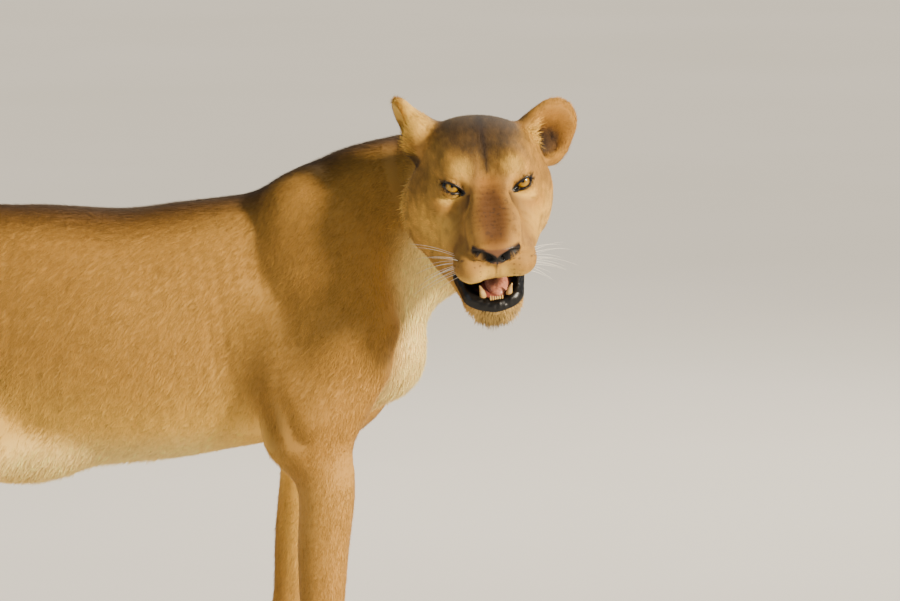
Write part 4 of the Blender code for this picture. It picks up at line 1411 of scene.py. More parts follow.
# ---- Her skin ----
@dataclass
class Skin:
    """One skin over the whole animal, finer on the head and finest on the face."""

    head: Head
    body: Body
    markings_and_shade: MarkingsAndShade
    lie: Lie
    voxel: float = 0.007
    body_faces: int = 36000
    filler: Ball = Ball((0.452, -0.122, 0.7), (0.075, 0.048, 0.045))  # at the point of the shoulder
    unthinned: Ball = Ball((0.05, 0, -0.02), (0.19, 0.25, 0.25))  # the head, which keeps its faces
    finer: tuple[tuple[Ball, ...], ...] = (  # where on the head it is made finer, step by step
        (Ball((0.06, 0, -0.02), (0.17, 0.24, 0.24)),),
        (Ball((0.137, 0, -0.05), (0.092, 0.13, 0.17)),),
        (
            *both(Ball((0.07, -0.062, 0.026), (0.026, 0.028, 0.024))),
            Ball((0.19, 0, -0.066), (0.034, 0.05, 0.036)),
        ),
    )
    head_around: tuple[Point, float] = ((0.0, 0.0, -0.02), 0.34)  # where the head's form counts
    head_blend: float = 0.016
    fold_margin: float = 0.05
    nudge: float = 0.0004  # steps for the slope of the form
    furthest: float = 0.03  # the most that a point moves in one round
    sole_height: tuple[float, float] = (0.08, 0.04)  # the feet aren't evened out: height and soft edge
    under_coat: float = 0.92  # how bright the skin is beside the coat
    soft_rounds: int = 8  # how far the skin's normals are evened out

    def form(self, points: Array) -> Array:
        """The distance to the coat's surface over the whole animal.

        Args:
            points: Places in the animal's frame.

        Returns:
            One distance for each place, negative inside.
        """
        form = joined(self.body.masses(), points)
        for fold in self.body.folds:
            middle, radius = fold.reach()
            close = near(points, middle, radius + self.fold_margin)
            form[close] = soft_cut(form[close], fold.distance(points[close]), fold.blend)
        local = into(self.head.frame(), points)
        close = near(local, *self.head_around)
        form[close] = soft_join(form[close], self.head.distance(local[close]), self.head_blend)
        return form

    def frames(self) -> dict[Place, Matrix]:
        """Where each frame of the patches stands."""
        head = self.head.frame()
        return dict(zip(Place, (Matrix.Identity(4), head, *(head @ ear.frame() for ear in self.head.ears))))

    def seen_from(self, points: Array) -> dict[Place, Array]:
        """The points in each frame."""
        return {place: into(frame, points) for place, frame in self.frames().items()}

    def hair(self, points: Array) -> dict[str, Array]:
        """The hair's sizes and lie at each point.

        Args:
            points: Places in the animal's frame.

        Returns:
            Arrays depth, length, width, lift, cover and flow.
        """
        turns = {place: np.array(frame.to_3x3()) for place, frame in self.frames().items()}
        where = self.seen_from(points)
        grown = self.lie.grown(where, turns)
        furred = 1.0 - np.maximum.reduce(list(self.markings_and_shade.bare(where, self.head).values()))
        grown["depth"] *= furred
        grown["cover"] *= ease(furred * 2.0 - 0.6)
        return grown

    def build(self) -> bpy.types.Object:
        """Models the skin.

        Returns:
            The skin, in the animal's own frame, with an unwrap of its shape.
        """
        skin = join_shapes("skin", self.solids())
        with_edit(lambda: bpy.ops.mesh.normals_make_consistent(inside=False))
        apply_modifier(skin, "REMESH", mode="VOXEL", voxel_size=self.voxel)
        self.settle(skin, 3, 0.5)
        log.info("skin: %d points on the form", len(skin.data.vertices))
        self.thin_body(skin)
        log.info("skin: %d points after thinning the body", len(skin.data.vertices))
        pick(skin)
        with_edit(lambda: bpy.ops.uv.smart_project(angle_limit=math.radians(66), island_margin=0.002))
        for areas in self.finer:
            self.refine(skin, areas)
            self.settle(skin, 3, 0.35, areas)
            log.info("skin: %d points after making the head finer", len(skin.data.vertices))
        return skin

    def solids(self) -> list[bpy.types.Object]:
        """Adds the plain solids that the skin starts from.

        Returns:
            The new objects.
        """
        own, head = Matrix.Identity(4), self.head.frame()
        placed = [(mass, own) for mass in (*self.body.masses(), *both(self.filler))]
        placed += [(mass, head) for mass in (*self.head.skull, *self.head.jaw)]
        for ear in self.head.ears:
            placed += [(mass, head @ ear.frame()) for mass in (ear.shell, ear.lobe, ear.stalk)]
        return [mass.add(frame) for mass, frame in placed]

    def thin_body(self, skin: bpy.types.Object) -> None:
        """Brings the faces behind the head down to about the number that the body has.

        Args:
            skin: The skin.
        """
        spots = coordinates(skin.data)
        behind = np.flatnonzero(~self.on_head(spots, (self.unthinned,)))
        group = skin.vertex_groups.new(name="body")
        group.add(behind.tolist(), 1.0, "REPLACE")
        faces = len(skin.data.polygons) * 2
        kept = faces * (1 - len(behind) / len(spots))
        apply_modifier(skin, "DECIMATE", ratio=(kept + self.body_faces) / faces, vertex_group="body")
        skin.vertex_groups.clear()

    def on_head(self, points: Array, areas: Sequence[Ball]) -> Array:
        """Which points lie inside some areas of the head."""
        local = into(self.head.frame(), points)
        return np.any([area.distance(local) < 0 for area in areas], axis=0)

    def refine(self, skin: bpy.types.Object, areas: Sequence[Ball]) -> None:
        """Divides the faces in some areas of the head.

        Args:
            skin: The skin.
            areas: The areas, in the head's frame.
        """
        inside = self.on_head(read(skin.data.polygons, "center", 3).astype(float), areas)
        pick(skin)
        bpy.ops.object.mode_set(mode="EDIT")
        bpy.ops.mesh.select_all(action="DESELECT")
        bpy.ops.mesh.select_mode(type="FACE")
        bpy.ops.object.mode_set(mode="OBJECT")
        skin.data.polygons.foreach_set("select", inside)
        bpy.ops.object.mode_set(mode="EDIT")
        bpy.ops.mesh.subdivide(number_cuts=1)
        bpy.ops.object.mode_set(mode="OBJECT")

    def settle(self, skin: bpy.types.Object, rounds: int, smooth: float, areas: Sequence[Ball] = ()) -> None:
        """Draws the skin onto its form, the coat's depth inside the coat's surface.

        Args:
            skin: The skin.
            rounds: How often it is drawn in.
            smooth: How much it is evened out before each time.
            areas: Areas of the head; where there are any, only what lies in them is moved.
        """
        spots = coordinates(skin.data)
        ends = edge_ends(skin.data)
        number = np.bincount(ends[:, 0], minlength=len(spots))[:, None]
        chosen = np.flatnonzero(self.on_head(spots, areas)) if areas else np.arange(len(spots))
        steps = self.nudge * np.array(((1, 1, 1), (1, -1, -1), (-1, 1, -1), (-1, -1, 1)), float)
        depth = self.hair(spots[chosen])["depth"]
        for _ in range(rounds):
            moved = spots[chosen] + smooth * (neighbour_sums(ends, spots) / number - spots)[chosen]
            corners = [self.form(moved + step) for step in steps]
            value = sum(corners) / 4 + depth
            slope = unit(sum(c[:, None] * step for c, step in zip(corners, steps)))
            moved -= slope * np.clip(value, -self.furthest, self.furthest)[:, None]
            spots[chosen] = moved
        if not areas:
            height, soft = self.sole_height
            above = ease((spots[:, 2:] - height) / soft)
            for _ in range(4):
                spots += 0.5 * above * (neighbour_sums(ends, spots) / number - spots)
        spots[:, 2] = np.maximum(spots[:, 2], 0.0)
        set_coordinates(skin.data, spots)
        skin.data.update()

    def soft_normals(self, mesh: bpy.types.Mesh, rounds: int) -> Array:
        """The normals of a mesh's points, evened out over their neighbours.

        Args:
            mesh: The mesh.
            rounds: How often they are evened out.

        Returns:
            One normal for each point.
        """
        found = read(mesh.vertex_normals, "vector", 3).astype(float)
        ends = edge_ends(mesh)
        for _ in range(rounds):
            found = unit(found + neighbour_sums(ends, found))
        return found

    def dress(self, skin: bpy.types.Object, finish: SkinFinish) -> None:
        """Paints the markings and the painted shade on the skin and gives it its finish.

        Args:
            skin: The skin.
            finish: Its finish.
        """
        colours, wet = self.markings_and_shade.colours(self.seen_from(coordinates(skin.data)), self.head)
        put_attribute(skin.data, "markings_and_shade", colours * self.under_coat)
        put_attribute(skin.data, "wet", wet)
        finish.dress(skin)
        pick(skin)
        bpy.ops.object.shade_smooth()
        soft, sharp = (self.soft_normals(skin.data, rounds) for rounds in (self.soft_rounds, 0))
        skin.data.normals_split_custom_set_from_vertices(soft + wet[:, None] * (sharp - soft))


# ---- Her coat ----
@dataclass
class Roots:
    """Where tufts grow and how they lie, one row for each."""

    place: Array
    up: Array  # the skin's normal
    flow: Array  # the way a tuft lies
    side: Array  # across it
    length: Array
    width: Array  # at the root
    lift: Array  # off the skin, in radians
    colour: Array
    home: Array  # the root's place on the skin's unwrap

    def picked(self, numbers: Array) -> "Roots":
        """Some of the roots."""
        return Roots(*(getattr(self, field.name)[numbers] for field in fields(self)))


@dataclass
class Coat:
    """The coat: fine tufts over the whole skin, in pieces."""

    skin: Skin
    share: float = 1.0
    most: int = 190000  # triangles in one piece
    long_from: float = 0.0165  # hair longer than this bends
    head_area: Ball = Ball((0.03, 0, -0.03), (0.21, 0.18, 0.19))
    fore_from: float = 0.16  # the forequarters reach back to here, and the hindquarters forward to hind_to
    hind_to: float = -0.25
    legs_to: float = 0.5  # the height where the legs' pieces end
    seed: int = 11
    even: float = 0.999  # power of the drawn places on a face; 1 leaves them as drawn
    uneven_length: float = 0.16
    uneven_lift: float = 0.22
    uneven_flow: tuple[float, float] = (0.1, 0.13)  # of all tufts on a face alike, and of each
    uneven_shade: tuple[float, float] = (0.05, 0.1)
    shades: tuple[float, float] = (0.55, 1.5)  # darkest and lightest
    normal_rounds: int = 4
    rooted: float = 0.0012  # how deep a root sits in the skin
    droop: float = 0.1  # how far a bent tuft's tip hangs, as a share of its length
    rows: tuple[Point, ...] = ((0.0, 1.0, 0.62), (0.5, 0.85, 0.95), (1.0, 0.0, 1.18))  # along, width, brightness: the darker root is partly the hair's own tone and partly painted shade deep in the coat

    def build(self, under: bpy.types.Object, finish: CoatFinish) -> list[bpy.types.Object]:
        """Grows the coat.

        Args:
            under: The finished skin, in the animal's own frame.
            finish: The coat's finish.

        Returns:
            The pieces of the coat.
        """
        roots = self.roots(under.data)
        pieces = []
        for name, inside in self.regions(roots.place).items():
            for bends in (False, True):
                numbers = np.flatnonzero(inside & ((roots.length > self.long_from) == bends))
                triangles = 3 if bends else 1
                parts = max(1, math.ceil(len(numbers) * triangles / self.most))
                for k, part in enumerate(np.array_split(numbers, parts)):
                    if len(part) == 0:
                        continue
                    title = f"coat_{name}_{'long' if bends else 'short'}" + (f"_{k + 1}" if parts > 1 else "")
                    pieces.append(self.tufts(title, bends, roots.picked(part)))
                    finish.dress(pieces[-1])
        return pieces

    def roots(self, mesh: bpy.types.Mesh) -> Roots:
        """Scatters the tufts over the skin.

        Args:
            mesh: The skin's mesh.

        Returns:
            The root of every tuft.
        """
        chance = np.random.default_rng(self.seed)
        mesh.calc_loop_triangles()
        corners, loops = (read(mesh.loop_triangles, key, 3, np.int32) for key in ("vertices", "loops"))
        spots = coordinates(mesh)
        hair = self.skin.hair(spots)
        colours, _ = self.skin.markings_and_shade.colours(self.skin.seen_from(spots), self.skin.head)
        number = self.share * self.crowding(spots, corners, hair)
        face = np.repeat(np.arange(len(corners)), (number + chance.random(len(corners))).astype(int))
        weight = chance.random((len(face), 3)) ** self.even
        fold = weight[:, 0] + weight[:, 1] > 1
        weight[fold, :2] = 1 - weight[fold, :2]
        weight[:, 2] = 1 - weight[:, 0] - weight[:, 1]

        def at_root(values: Array) -> Array:
            """Values of the skin's points, at each root."""
            taken = values[corners[face]]
            return (taken * (weight if taken.ndim == 2 else weight[..., None])).sum(1)

        place, up = at_root(spots), unit(at_root(self.skin.soft_normals(mesh, self.normal_rounds)))
        length, width, lift = (at_root(hair[key]) for key in ("length", "width", "lift"))
        flow = unit(at_root(hair["flow"]))
        maps = read(mesh.uv_layers[0].uv, "vector", 2)
        clump = chance.normal(size=(len(corners), 3))[face]
        own = chance.normal(size=(len(face), 4))
        alike, each = self.uneven_flow
        flow = flow + alike * clump + each * own[:, 1:4]
        flow = unit(flow - up * (flow * up).sum(1, keepdims=True))
        alike, each = self.uneven_shade
        shade = 1.0 + each * own[:, 3] + alike * clump[:, 0]
        shade *= self.streaks(place)
        return Roots(
            place=place, up=up, flow=flow, side=np.cross(flow, up),
            length=length * np.exp(self.uneven_length * own[:, 0]), width=width,
            lift=np.radians(lift * np.exp(self.uneven_lift * own[:, 2]))[:, None],
            colour=at_root(colours) * np.clip(shade, *self.shades)[:, None],
            home=(maps[loops[face]] * weight[..., None]).sum(1),
        )

    def crowding(self, spots: Array, corners: Array, hair: dict[str, Array]) -> Array:
        """How many tufts grow on each face.

        Args:
            spots: The skin's points.
            corners: The points of each face.
            hair: The hair's sizes at each point.

        Returns:
            One number for each face.
        """
        a, b, c = (spots[corners[:, k]] for k in range(3))
        area = np.linalg.norm(np.cross(b - a, c - a), axis=1) / 2
        length, width, cover = (hair[key][corners].mean(1) for key in ("length", "width", "cover"))
        return area * cover / (0.5 * width * length)

    def streaks(self, place: Array) -> Array:
        """How light the coat is, in fine streaks that are stronger on the head.

        Args:
            place: The roots' places.

        Returns:
            One number for each root, 1 where its colour stays as it is.
        """
        shade = 0.87 + 0.26 * cloud(place, (0.004, 0.004, 0.03), Noise.SHADE)
        local = into(self.skin.head.frame(), place)
        fine = 0.76 + 0.48 * cloud(local, (0.011, 0.0026, 0.009), Noise.STREAKS)
        locks = 0.8 + 0.4 * ease(2.4 * cloud(local, (0.018, 0.006, 0.012), Noise.LOCKS) - 0.7)
        return shade * (1.0 + ease(-self.head_area.distance(local) / 0.04) * (fine * locks - 1.0))

    def regions(self, place: Array) -> dict[str, Array]:
        """Which roots belong to each part of the coat.

        Args:
            place: The roots' places.

        Returns:
            For each part's name, whether each root lies in it.
        """
        head = self.skin.on_head(place, (self.head_area,))
        front = ~head & (place[:, 0] > self.fore_from)
        hind = ~head & (place[:, 0] < self.hind_to)
        middle = ~head & ~front & ~hind
        low = place[:, 2] < self.legs_to
        right = place[:, 1] < 0
        return {
            "head": head, "forelegs": front & low, "shoulders": front & ~low, "flank_right": middle & right,
            "flank_left": middle & ~right, "hindlegs": hind & low, "rump": hind & ~low,
        }

    def tufts(self, name: str, bends: bool, roots: Roots) -> bpy.types.Object:
        """Makes one piece of the coat.

        Args:
            name: The piece's name.
            bends: Whether each tuft has a bend in the middle.
            roots: The roots of its tufts.

        Returns:
            The piece.
        """
        half, long = roots.side * roots.width[:, None] / 2, roots.length[:, None]
        rise = roots.flow * np.cos(roots.lift) + roots.up * np.sin(roots.lift)
        base = roots.place - roots.up * self.rooted
        rows, tints, leans, shifts = [], [], [], []
        for along, wide, light in self.rows if bends else (self.rows[0], self.rows[-1]):
            hang = roots.up * (long * self.droop * along**2) if bends else 0.0
            middle = base + rise * long * along - hang
            for turn in SIDES if wide else (0,):
                rows.append(middle + turn * wide * half)
                # brightness along the tuft: the darker root is partly painted shade deep in the coat
                tints.append(roots.colour * light)
                leans.append(unit(roots.up + 0.45 * turn * roots.side + 0.12 * roots.flow))
                shifts.append(roots.home + 0.0015 * np.array((turn, 2 * along - 1)))
        index = np.arange(len(long))[:, None] * len(rows)
        corners = ((0, 1, 2), (1, 3, 2), (2, 3, 4)) if bends else ((0, 1, 2),)
        faces = np.concatenate([index + np.array(f) for f in corners], 1).reshape(-1)
        points, tints, leans, shifts = (
            np.stack(values, 1).reshape(-1, values[0].shape[1]) for values in (rows, tints, leans, shifts)
        )
        points[:, 2] = np.maximum(points[:, 2], 0.0005)

        mesh = bpy.data.meshes.new(name)
        mesh.vertices.add(len(points))
        set_coordinates(mesh, points)
        mesh.loops.add(len(faces))
        mesh.loops.foreach_set("vertex_index", faces.astype(np.int32))
        mesh.polygons.add(len(faces) // 3)
        mesh.polygons.foreach_set("loop_start", np.arange(0, len(faces), 3, dtype=np.int32))
        mesh.polygons.foreach_set("use_smooth", np.ones(len(faces) // 3, bool))
        mesh.update(calc_edges=True)
        put_attribute(mesh, "markings_and_shade", np.clip(tints, 0.002, 1.0))
        set_map(mesh.uv_layers.new(name="OFBake"), shifts[faces])
        mesh.normals_split_custom_set_from_vertices(leans.astype(np.float32))
        return add_object(name, mesh)


# ---- Eyes ----
@dataclass(frozen=True)
class EyeFinish(Finish):
    """A wet eye: round pupil, amber iris with fine rays, dark edge, brown white of the eye."""

    name: str = "eye"
    roughness: float = 0.22
    specular: float = 0.3
    coat: float = 0.5
    iris: float = 0.235  # radius of the iris on the unwrap, where 0.5 is the back of the eye
    pupil: float = 0.042
    rays: float = 0.6  # how strong the rays are

    def paint(self, tree: bpy.types.NodeTree, shader: bpy.types.Node) -> None:
        """Lays rings of colour and rays round the pupil."""
        place = add_node(tree, "ShaderNodeUVMap", uv_map="gaze")
        centre = add_node(tree, "ShaderNodeVectorMath", operation="SUBTRACT")
        centre.inputs[1].default_value = (0.5, 0.5, 0.0)
        away = add_node(tree, "ShaderNodeVectorMath", operation="LENGTH")
        rings = add_node(tree, "ShaderNodeValToRGB")
        black = srgb(6, 5, 4)
        ramp(
            rings, (0.0, black), (self.pupil, black), (self.pupil + 0.01, srgb(138, 100, 16)),
            (0.6 * self.iris, srgb(186, 142, 22)), (0.85 * self.iris, srgb(132, 92, 14)),
            (self.iris, srgb(32, 18, 8)), (self.iris + 0.02, srgb(14, 10, 8)), (0.5, srgb(30, 18, 14)),
        )
        direction = add_node(tree, "ShaderNodeVectorMath", operation="NORMALIZE")
        lines = add_node(tree, "ShaderNodeTexNoise", Scale=14.0, Detail=2.0)
        contrast = add_node(tree, "ShaderNodeValToRGB")
        ramp(contrast, (0.35, (0.45, 0.4, 0.32)), (0.65, (1.0, 1.0, 1.0)))
        mix = add_node(tree, "ShaderNodeMix", data_type="RGBA", blend_type="MULTIPLY")
        mix.inputs["Factor"].default_value = self.rays
        wire(
            tree,
            (place, "UV", centre, 0),
            (centre, "Vector", away, 0),
            (away, "Value", rings, "Fac"),
            (centre, "Vector", direction, 0),
            (direction, "Vector", lines, "Vector"),
            (lines, "Fac", contrast, "Fac"),
            (rings, "Color", mix, "A"),
            (contrast, "Color", mix, "B"),
            (mix, "Result", shader, "Base Color"),
        )


@dataclass
class Eye:
    """One eyeball, with the cornea standing out in front."""

    name: str
    side: int
    head: Head
    gaze: Array  # towards what she looks at
    cornea: float = 0.0012
    cornea_share: float = 0.28  # how much of the radius along the gaze it takes in

    def build(self) -> bpy.types.Object:
        """Models the eyeball.

        Returns:
            The eye, in the animal's own frame.
        """
        radius = self.head.lids.ball
        bpy.ops.object.select_all(action="DESELECT")
        bpy.ops.mesh.primitive_uv_sphere_add(segments=48, ring_count=32, radius=radius)
        eye = bpy.context.object
        eye.name = eye.data.name = self.name
        spots = coordinates(eye.data)
        ahead = spots[:, 2] / radius
        bulge = self.cornea * ease((ahead - (1 - self.cornea_share)) / self.cornea_share)
        spots += unit(spots) * bulge[:, None]
        set_coordinates(eye.data, spots)
        angle = np.arccos(np.clip(ahead, -1, 1)) / math.pi
        outward = unit(np.column_stack([spots[:, :2], np.full(len(spots), 1e-9)]))[:, :2]
        flat = outward * angle[:, None] + 0.5
        while eye.data.uv_layers:
            eye.data.uv_layers.remove(eye.data.uv_layers[0])
        set_map(eye.data.uv_layers.new(name="gaze"), flat[read(eye.data.loops, "vertex_index", 1, np.int32)])
        middle = self.head.frame() @ Vector(self.head.lids.middle(self.side))
        eye.data.transform(Matrix.Translation(middle) @ facing(self.gaze))
        bpy.ops.object.shade_smooth()
        return eye


# ---- Mouth, whiskers and claws ----
@dataclass(frozen=True)
class PlainFinish(Finish):
    """A finish with a slight mottle and grain of its own."""

    dark: Colour = (0.3, 0.3, 0.3)
    size: float = 60.0
    bump: float = 0.1

    def paint(self, tree: bpy.types.NodeTree, shader: bpy.types.Node) -> None:
        """Mottles the colour and the surface."""
        place = add_node(tree, "ShaderNodeTexCoord")
        mottle = add_node(tree, "ShaderNodeTexNoise", Scale=self.size, Detail=4.0)
        colours = add_node(tree, "ShaderNodeValToRGB")
        ramp(colours, (0.3, self.dark), (0.65, self.colour))
        bump = add_node(tree, "ShaderNodeBump", Strength=self.bump, Distance=0.001)
        wire(
            tree,
            (place, "Object", mottle, "Vector"),
            (mottle, "Fac", colours, "Fac"),
            (colours, "Color", shader, "Base Color"),
            (mottle, "Fac", bump, "Height"),
            (bump, "Normal", shader, "Normal"),
        )


TOOTH = PlainFinish("tooth", srgb(214, 180, 112), 0.28, 0.5, 0.4, dark=srgb(176, 124, 58), size=90, bump=0.05)
FLESH = PlainFinish("tongue", srgb(206, 140, 112), 0.38, 0.5, 0.3, dark=srgb(176, 104, 84), size=240,
                    bump=0.5)
HORN = PlainFinish("horn", srgb(120, 100, 84), 0.35, 0.4, dark=srgb(58, 46, 40), size=120, bump=0.1)
BRISTLE = PlainFinish("whisker", srgb(246, 242, 232), 0.4, 0.5, dark=srgb(226, 218, 200), size=30, bump=0)
GROUND = PlainFinish("floor", srgb(238, 234, 226), 0.9, 0.2, dark=srgb(234, 230, 221), size=0.6, bump=0)


def smooth_tube(name: str, limbs: Sequence[Limb], frame: Matrix, sides: int) -> bpy.types.Object:
    """Makes one smooth piece of several fine tapering tubes.

    Args:
        name: The piece's name.
        limbs: The tubes.
        frame: Where their own frame stands.
        sides: How many corners a section has.

    Returns:
        The piece.
    """
    piece = join_shapes(name, [limb.add(frame, sides) for limb in limbs])
    bpy.ops.object.shade_smooth()
    return piece


@dataclass
class Mouth:
    """Tongue and lower teeth, in the head's frame."""

    head: Head
    tongue: Ball = Ball((0.098, 0.005, -0.134), (0.038, 0.02, 0.012), (0, 14, 0))
    furrow: tuple[float, float] = (0.0025, 0.003)  # depth and half width of the furrow along the tongue
    canine: Limb = Limb((
        (0.13, -0.021, -0.158, 0.0062, 0.006),
        (0.133, -0.0215, -0.146, 0.0062, 0.006),
        (0.136, -0.0225, -0.136, 0.005, 0.005),
        (0.138, -0.025, -0.127, 0.0026, 0.0028),
        (0.139, -0.027, -0.1215, 0.0009, 0.001),
    ), AHEAD, steps=4)
    incisors: tuple[tuple[float, float], ...] = (  # how far to her left, and how high the tip is
        (-0.0098, -0.1395), (-0.0058, -0.1405), (-0.0019, -0.141),
        (0.0019, -0.141), (0.0058, -0.1405), (0.0098, -0.1395),
    )

    def build(self) -> dict[str, bpy.types.Object]:
        """Models the tongue and teeth.

        Returns:
            The pieces by the name of the solid that each stands for.
        """
        frame = self.head.frame()
        return {
            "tongue": self.build_tongue(frame),
            "canine_right": smooth_tube("canine_right", [self.canine], frame, 16),
            "canine_left": smooth_tube("canine_left", [self.canine.mirrored()], frame, 16),
            "incisors": smooth_tube("incisors", [self.peg(y, tip) for y, tip in self.incisors], frame, 10),
        }

    def build_tongue(self, frame: Matrix) -> bpy.types.Object:
        """Models the tongue, with a furrow along it.

        Args:
            frame: Where the head stands.

        Returns:
            The tongue.
        """
        tongue = self.tongue.add(frame)
        with_edit(lambda: bpy.ops.mesh.subdivide(number_cuts=1, smoothness=1.0))
        spots = into(frame, coordinates(tongue.data))
        depth, width = self.furrow
        spots[:, 2] -= depth * np.exp(-((spots[:, 1] / width) ** 2)) * (spots[:, 2] > self.tongue.middle[2])
        set_coordinates(tongue.data, spots)
        tongue.data.transform(frame)
        pick(tongue)
        bpy.ops.object.shade_smooth()
        return tongue

    def peg(self, y: float, tip: float) -> Limb:
        """One incisor, from how far to her left it stands and how high its tip is."""
        rows = ((0.141, y, -0.15, 0.0018, 0.0022), (0.142, y, -0.144, 0.0016, 0.002),
                (0.1425, y, tip, 0.0008, 0.0009))
        return Limb(rows, AHEAD, steps=3)


@dataclass
class Whiskers:
    """Long white bristles on the lip pads."""

    head: Head
    seed: int = 4
    rows: int = 4
    in_row: int = 4
    thickness: float = 0.00042  # radius at the root
    bow: Point = (-0.12, 0, -0.22)  # how far a tip hangs, as a share of the length

    def build(self) -> bpy.types.Object:
        """Models the whiskers.

        Returns:
            The whiskers as one piece.
        """
        chance = np.random.default_rng(self.seed)
        bristles = []
        for side in SIDES:
            for row in range(self.rows):
                for k in range(self.in_row):
                    start = np.array(
                        (0.168 - 0.013 * k - 0.003 * row, side * (0.058 + 0.004 * k), -0.064 - 0.01 * row)
                    )
                    long = (0.045 + 0.014 * k) * (0.8 + 0.4 * chance.random())
                    way = np.array((-0.3 - 0.15 * k, side * 1.0, 0.1 - 0.22 * row))
                    bristles.append(self.bristle(start, unit(way + 0.12 * chance.normal(size=3)), long))
        return smooth_tube("whiskers", bristles, self.head.frame(), 4)

    def bristle(self, start: Array, out: Array, long: float) -> Limb:
        """One bristle that bows down towards its tip.

        Args:
            start: Where it grows.
            out: The way it grows.
            long: Its length.

        Returns:
            The bristle.
        """
        rows = []
        for t in (0.0, 0.35, 0.7, 1.0):
            spot = start + out * long * (t - 0.06) + np.array(self.bow) * long * t**2
            thick = self.thickness * (1 - 0.8 * t)
            rows.append((*spot, thick, thick))
        return Limb(tuple(rows), (0.3, 0.2, 1.0), steps=3)


@dataclass
class Claws:
    """Claw tips, mostly sheathed, one over each toe."""

    paws: tuple[Paw, ...]
    stations: tuple[Point, ...] = (  # along the toe, height, half width
        (0.62, 0.029, 0.0028), (0.9, 0.026, 0.0026), (1.02, 0.018, 0.0017), (1.04, 0.01, 0.0005),
    )

    def build(self) -> bpy.types.Object:
        """Models the claws.

        Returns:
            The claws as one piece.
        """
        tips = []
        for paw in self.paws:
            reach = paw.toe_reach * paw.length
            for x, y, turned in paw.toe_places():
                turn = math.radians(turned)
                rows = tuple(
                    (x + t * reach * math.cos(turn), y + t * reach * math.sin(turn), z, w * 0.8, w)
                    for t, z, w in self.stations
                )
                tips.append(Limb(rows, (0, 1, 0), steps=3))
        return smooth_tube("claws", tips, Matrix.Identity(4), 8)


# ---- Studio ----
@dataclass
class Studio:
    """Pale floor, soft lights and the camera."""

    home: Vector  # from the animal's own frame into the model's
    azimuth: float = 8.0
    elevation: float = 7.0
    distance: float = 11.2
    across: float = 0.6
    height: float = 0.7466
    frame_width: float = 1.551724  # what the picture takes in, in metres at the target
    sensor: float = 36.0
    lit: Point = (0.35, -0.05, 0.7)  # what the lamps shine on, in the animal's own frame
    sky: Colour = (0.74, 0.86, 1.0)
    sky_strength: float = 0.22
    floor_size: float = 160.0

    def axes(self) -> tuple[Vector, Vector, Vector]:
        """The camera's right, up and back."""
        turn, rise = math.radians(self.azimuth), math.radians(self.elevation)
        right = Vector((math.cos(turn), math.sin(turn), 0))
        back = Vector((math.sin(turn) * math.cos(rise), -math.cos(turn) * math.cos(rise), math.sin(rise)))
        return right, back.cross(right), back

    def build(self) -> bpy.types.Object:
        """Sets up the camera, lights and floor.

        Returns:
            The floor.
        """
        self.set_camera()
        self.sun("key", (0.84, -0.52, 0.4), 9.0, 8.3, (1.0, 0.87, 0.68))
        self.lamp("fill", (-0.75, -0.7, 0.45), 6.0, 4.0, 55.0, (0.84, 0.92, 1.0))
        self.lamp("rim", (0.35, 0.85, 0.75), 5.0, 2.5, 170.0, (1.0, 0.92, 0.8))
        world = bpy.data.worlds.new("studio")
        world.use_nodes = True
        inputs = world.node_tree.nodes["Background"].inputs
        inputs["Color"].default_value = (*self.sky, 1.0)
        inputs["Strength"].default_value = self.sky_strength
        bpy.context.scene.world = world

        bpy.ops.object.select_all(action="DESELECT")
        bpy.ops.mesh.primitive_plane_add(size=self.floor_size)
        floor = bpy.context.object
        floor.name = floor.data.name = "floor"
        return floor

    def set_camera(self) -> None:
        """Sets up the camera."""
        right, up, back = self.axes()
        target = self.home + right * self.across + up * self.height
        lens = bpy.data.cameras.new("camera")
        lens.sensor_width = self.sensor
        lens.lens = self.sensor * self.distance / self.frame_width
        lens.clip_end = 300.0
        camera = add_object("camera", lens)
        turn = Matrix((right, up, back)).transposed().to_4x4()
        camera.matrix_world = Matrix.Translation(target + back * self.distance) @ turn
        bpy.context.scene.camera = camera

    def light(self, name: str, kind: str, power: float, colour: Colour) -> bpy.types.Object:
        """Adds a light, its power in watts unless it's a sun."""
        made = add_object(name, bpy.data.lights.new(name, kind))
        made.data.energy, made.data.color = power, colour
        return made

    def sun(self, name: str, way: Point, spread: float, power: float, colour: Colour) -> None:
        """Adds a low, soft-edged sun.

        Args:
            name: Its name.
            way: Towards it.
            spread: How wide it looks, in degrees.
            power: Its strength.
            colour: Its colour.
        """
        sun = self.light(name, "SUN", power, colour)
        sun.data.angle = math.radians(spread)
        sun.matrix_world = facing(way)

    def lamp(self, name: str, way: Point, far: float, size: float, power: float, colour: Colour) -> None:
        """Adds a square soft light.

        Args:
            name: Its name.
            way: From what it shines on towards it.
            far: How far off it stands.
            size: Its side.
            power: Its power in watts.
            colour: Its colour.
        """
        lamp = self.light(name, "AREA", power, colour)
        lamp.data.size = size
        towards = Vector(way).normalized()
        lamp.matrix_world = Matrix.Translation(self.home + Vector(self.lit) + towards * far) @ facing(towards)


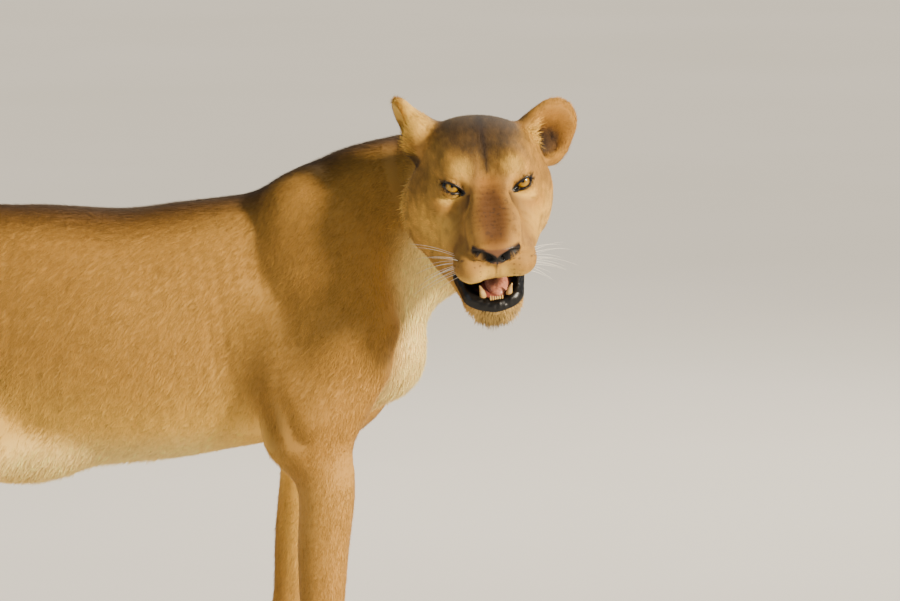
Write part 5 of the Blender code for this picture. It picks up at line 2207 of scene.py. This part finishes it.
# ---- The whole ----
FLESH_NODES = (
    "belly", "chest", "ear_left", "ear_right", "foreleg_left", "foreleg_right", "forepaw_left",
    "forepaw_right", "head", "hindpaw_left", "hindpaw_right", "hock_left", "hock_right", "jaw", "neck",
    "nose", "rump", "shank_left", "shank_right", "shoulder_left", "shoulder_right", "tail_lower",
    "tail_middle", "tail_root", "tail_tuft", "thigh_left", "thigh_right",
)


def place_piece(piece: bpy.types.Object, home: Vector, slot: str, *nodes: str) -> None:
    """Moves a finished piece into the model's frame and hangs it on the body.

    Args:
        piece: The piece, modelled in the animal's own frame.
        home: The way from that frame into the model's.
        slot: The record's material slot; not used.
        nodes: The solids that the piece stands for.
    """
    piece.data.transform(Matrix.Translation(home))
    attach(piece, "root")
    if nodes:
        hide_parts(*nodes)
    log.info("%s: %d faces", piece.name, len(piece.data.polygons))


def main() -> None:
    """Builds the lioness and her studio."""
    logging.basicConfig(level=logging.INFO, format="%(message)s", stream=sys.stdout)
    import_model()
    bpy.ops.object.select_all(action="DESELECT")
    head, body = Head(), Body()
    low, high = (Vector(corner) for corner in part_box("eye_right"))
    home = (low + high) / 2 - head.frame() @ Vector(head.lids.middle(-1))
    log.info("home: %s", [round(v, 4) for v in home])
    studio = Studio(home)

    skin_maker = Skin(head, body, MarkingsAndShade(), Lie())
    skin = skin_maker.build()
    skin_maker.dress(skin, SkinFinish())
    coat = Coat(skin_maker, share=1.0).build(skin, CoatFinish())
    for piece in coat:
        place_piece(piece, home, "chest")
    log.info("coat: %d triangles", sum(len(piece.data.polygons) for piece in coat))
    place_piece(skin, home, "head", *FLESH_NODES)

    gaze = np.array(studio.axes()[2])
    for side, word in zip(SIDES, ("right", "left")):
        eye = Eye(f"eyeball_{word}", side, head, gaze).build()
        EyeFinish().dress(eye)
        place_piece(eye, home, f"eye_{word}", f"eye_{word}")
    for node, piece in Mouth(head).build().items():
        piece.name = piece.data.name = "tongue_soft" if node == "tongue" else "tooth_" + node
        (FLESH if node == "tongue" else TOOTH).dress(piece)
        place_piece(piece, home, node, node)
    whiskers = Whiskers(head).build()
    BRISTLE.dress(whiskers)
    place_piece(whiskers, home, "head")
    claws = Claws(tuple(leg.paw() for leg in body.legs)).build()
    HORN.dress(claws)
    place_piece(claws, home, "forepaw_right")

    floor = studio.build()
    GROUND.dress(floor)


if __name__ == "__main__":
    main()
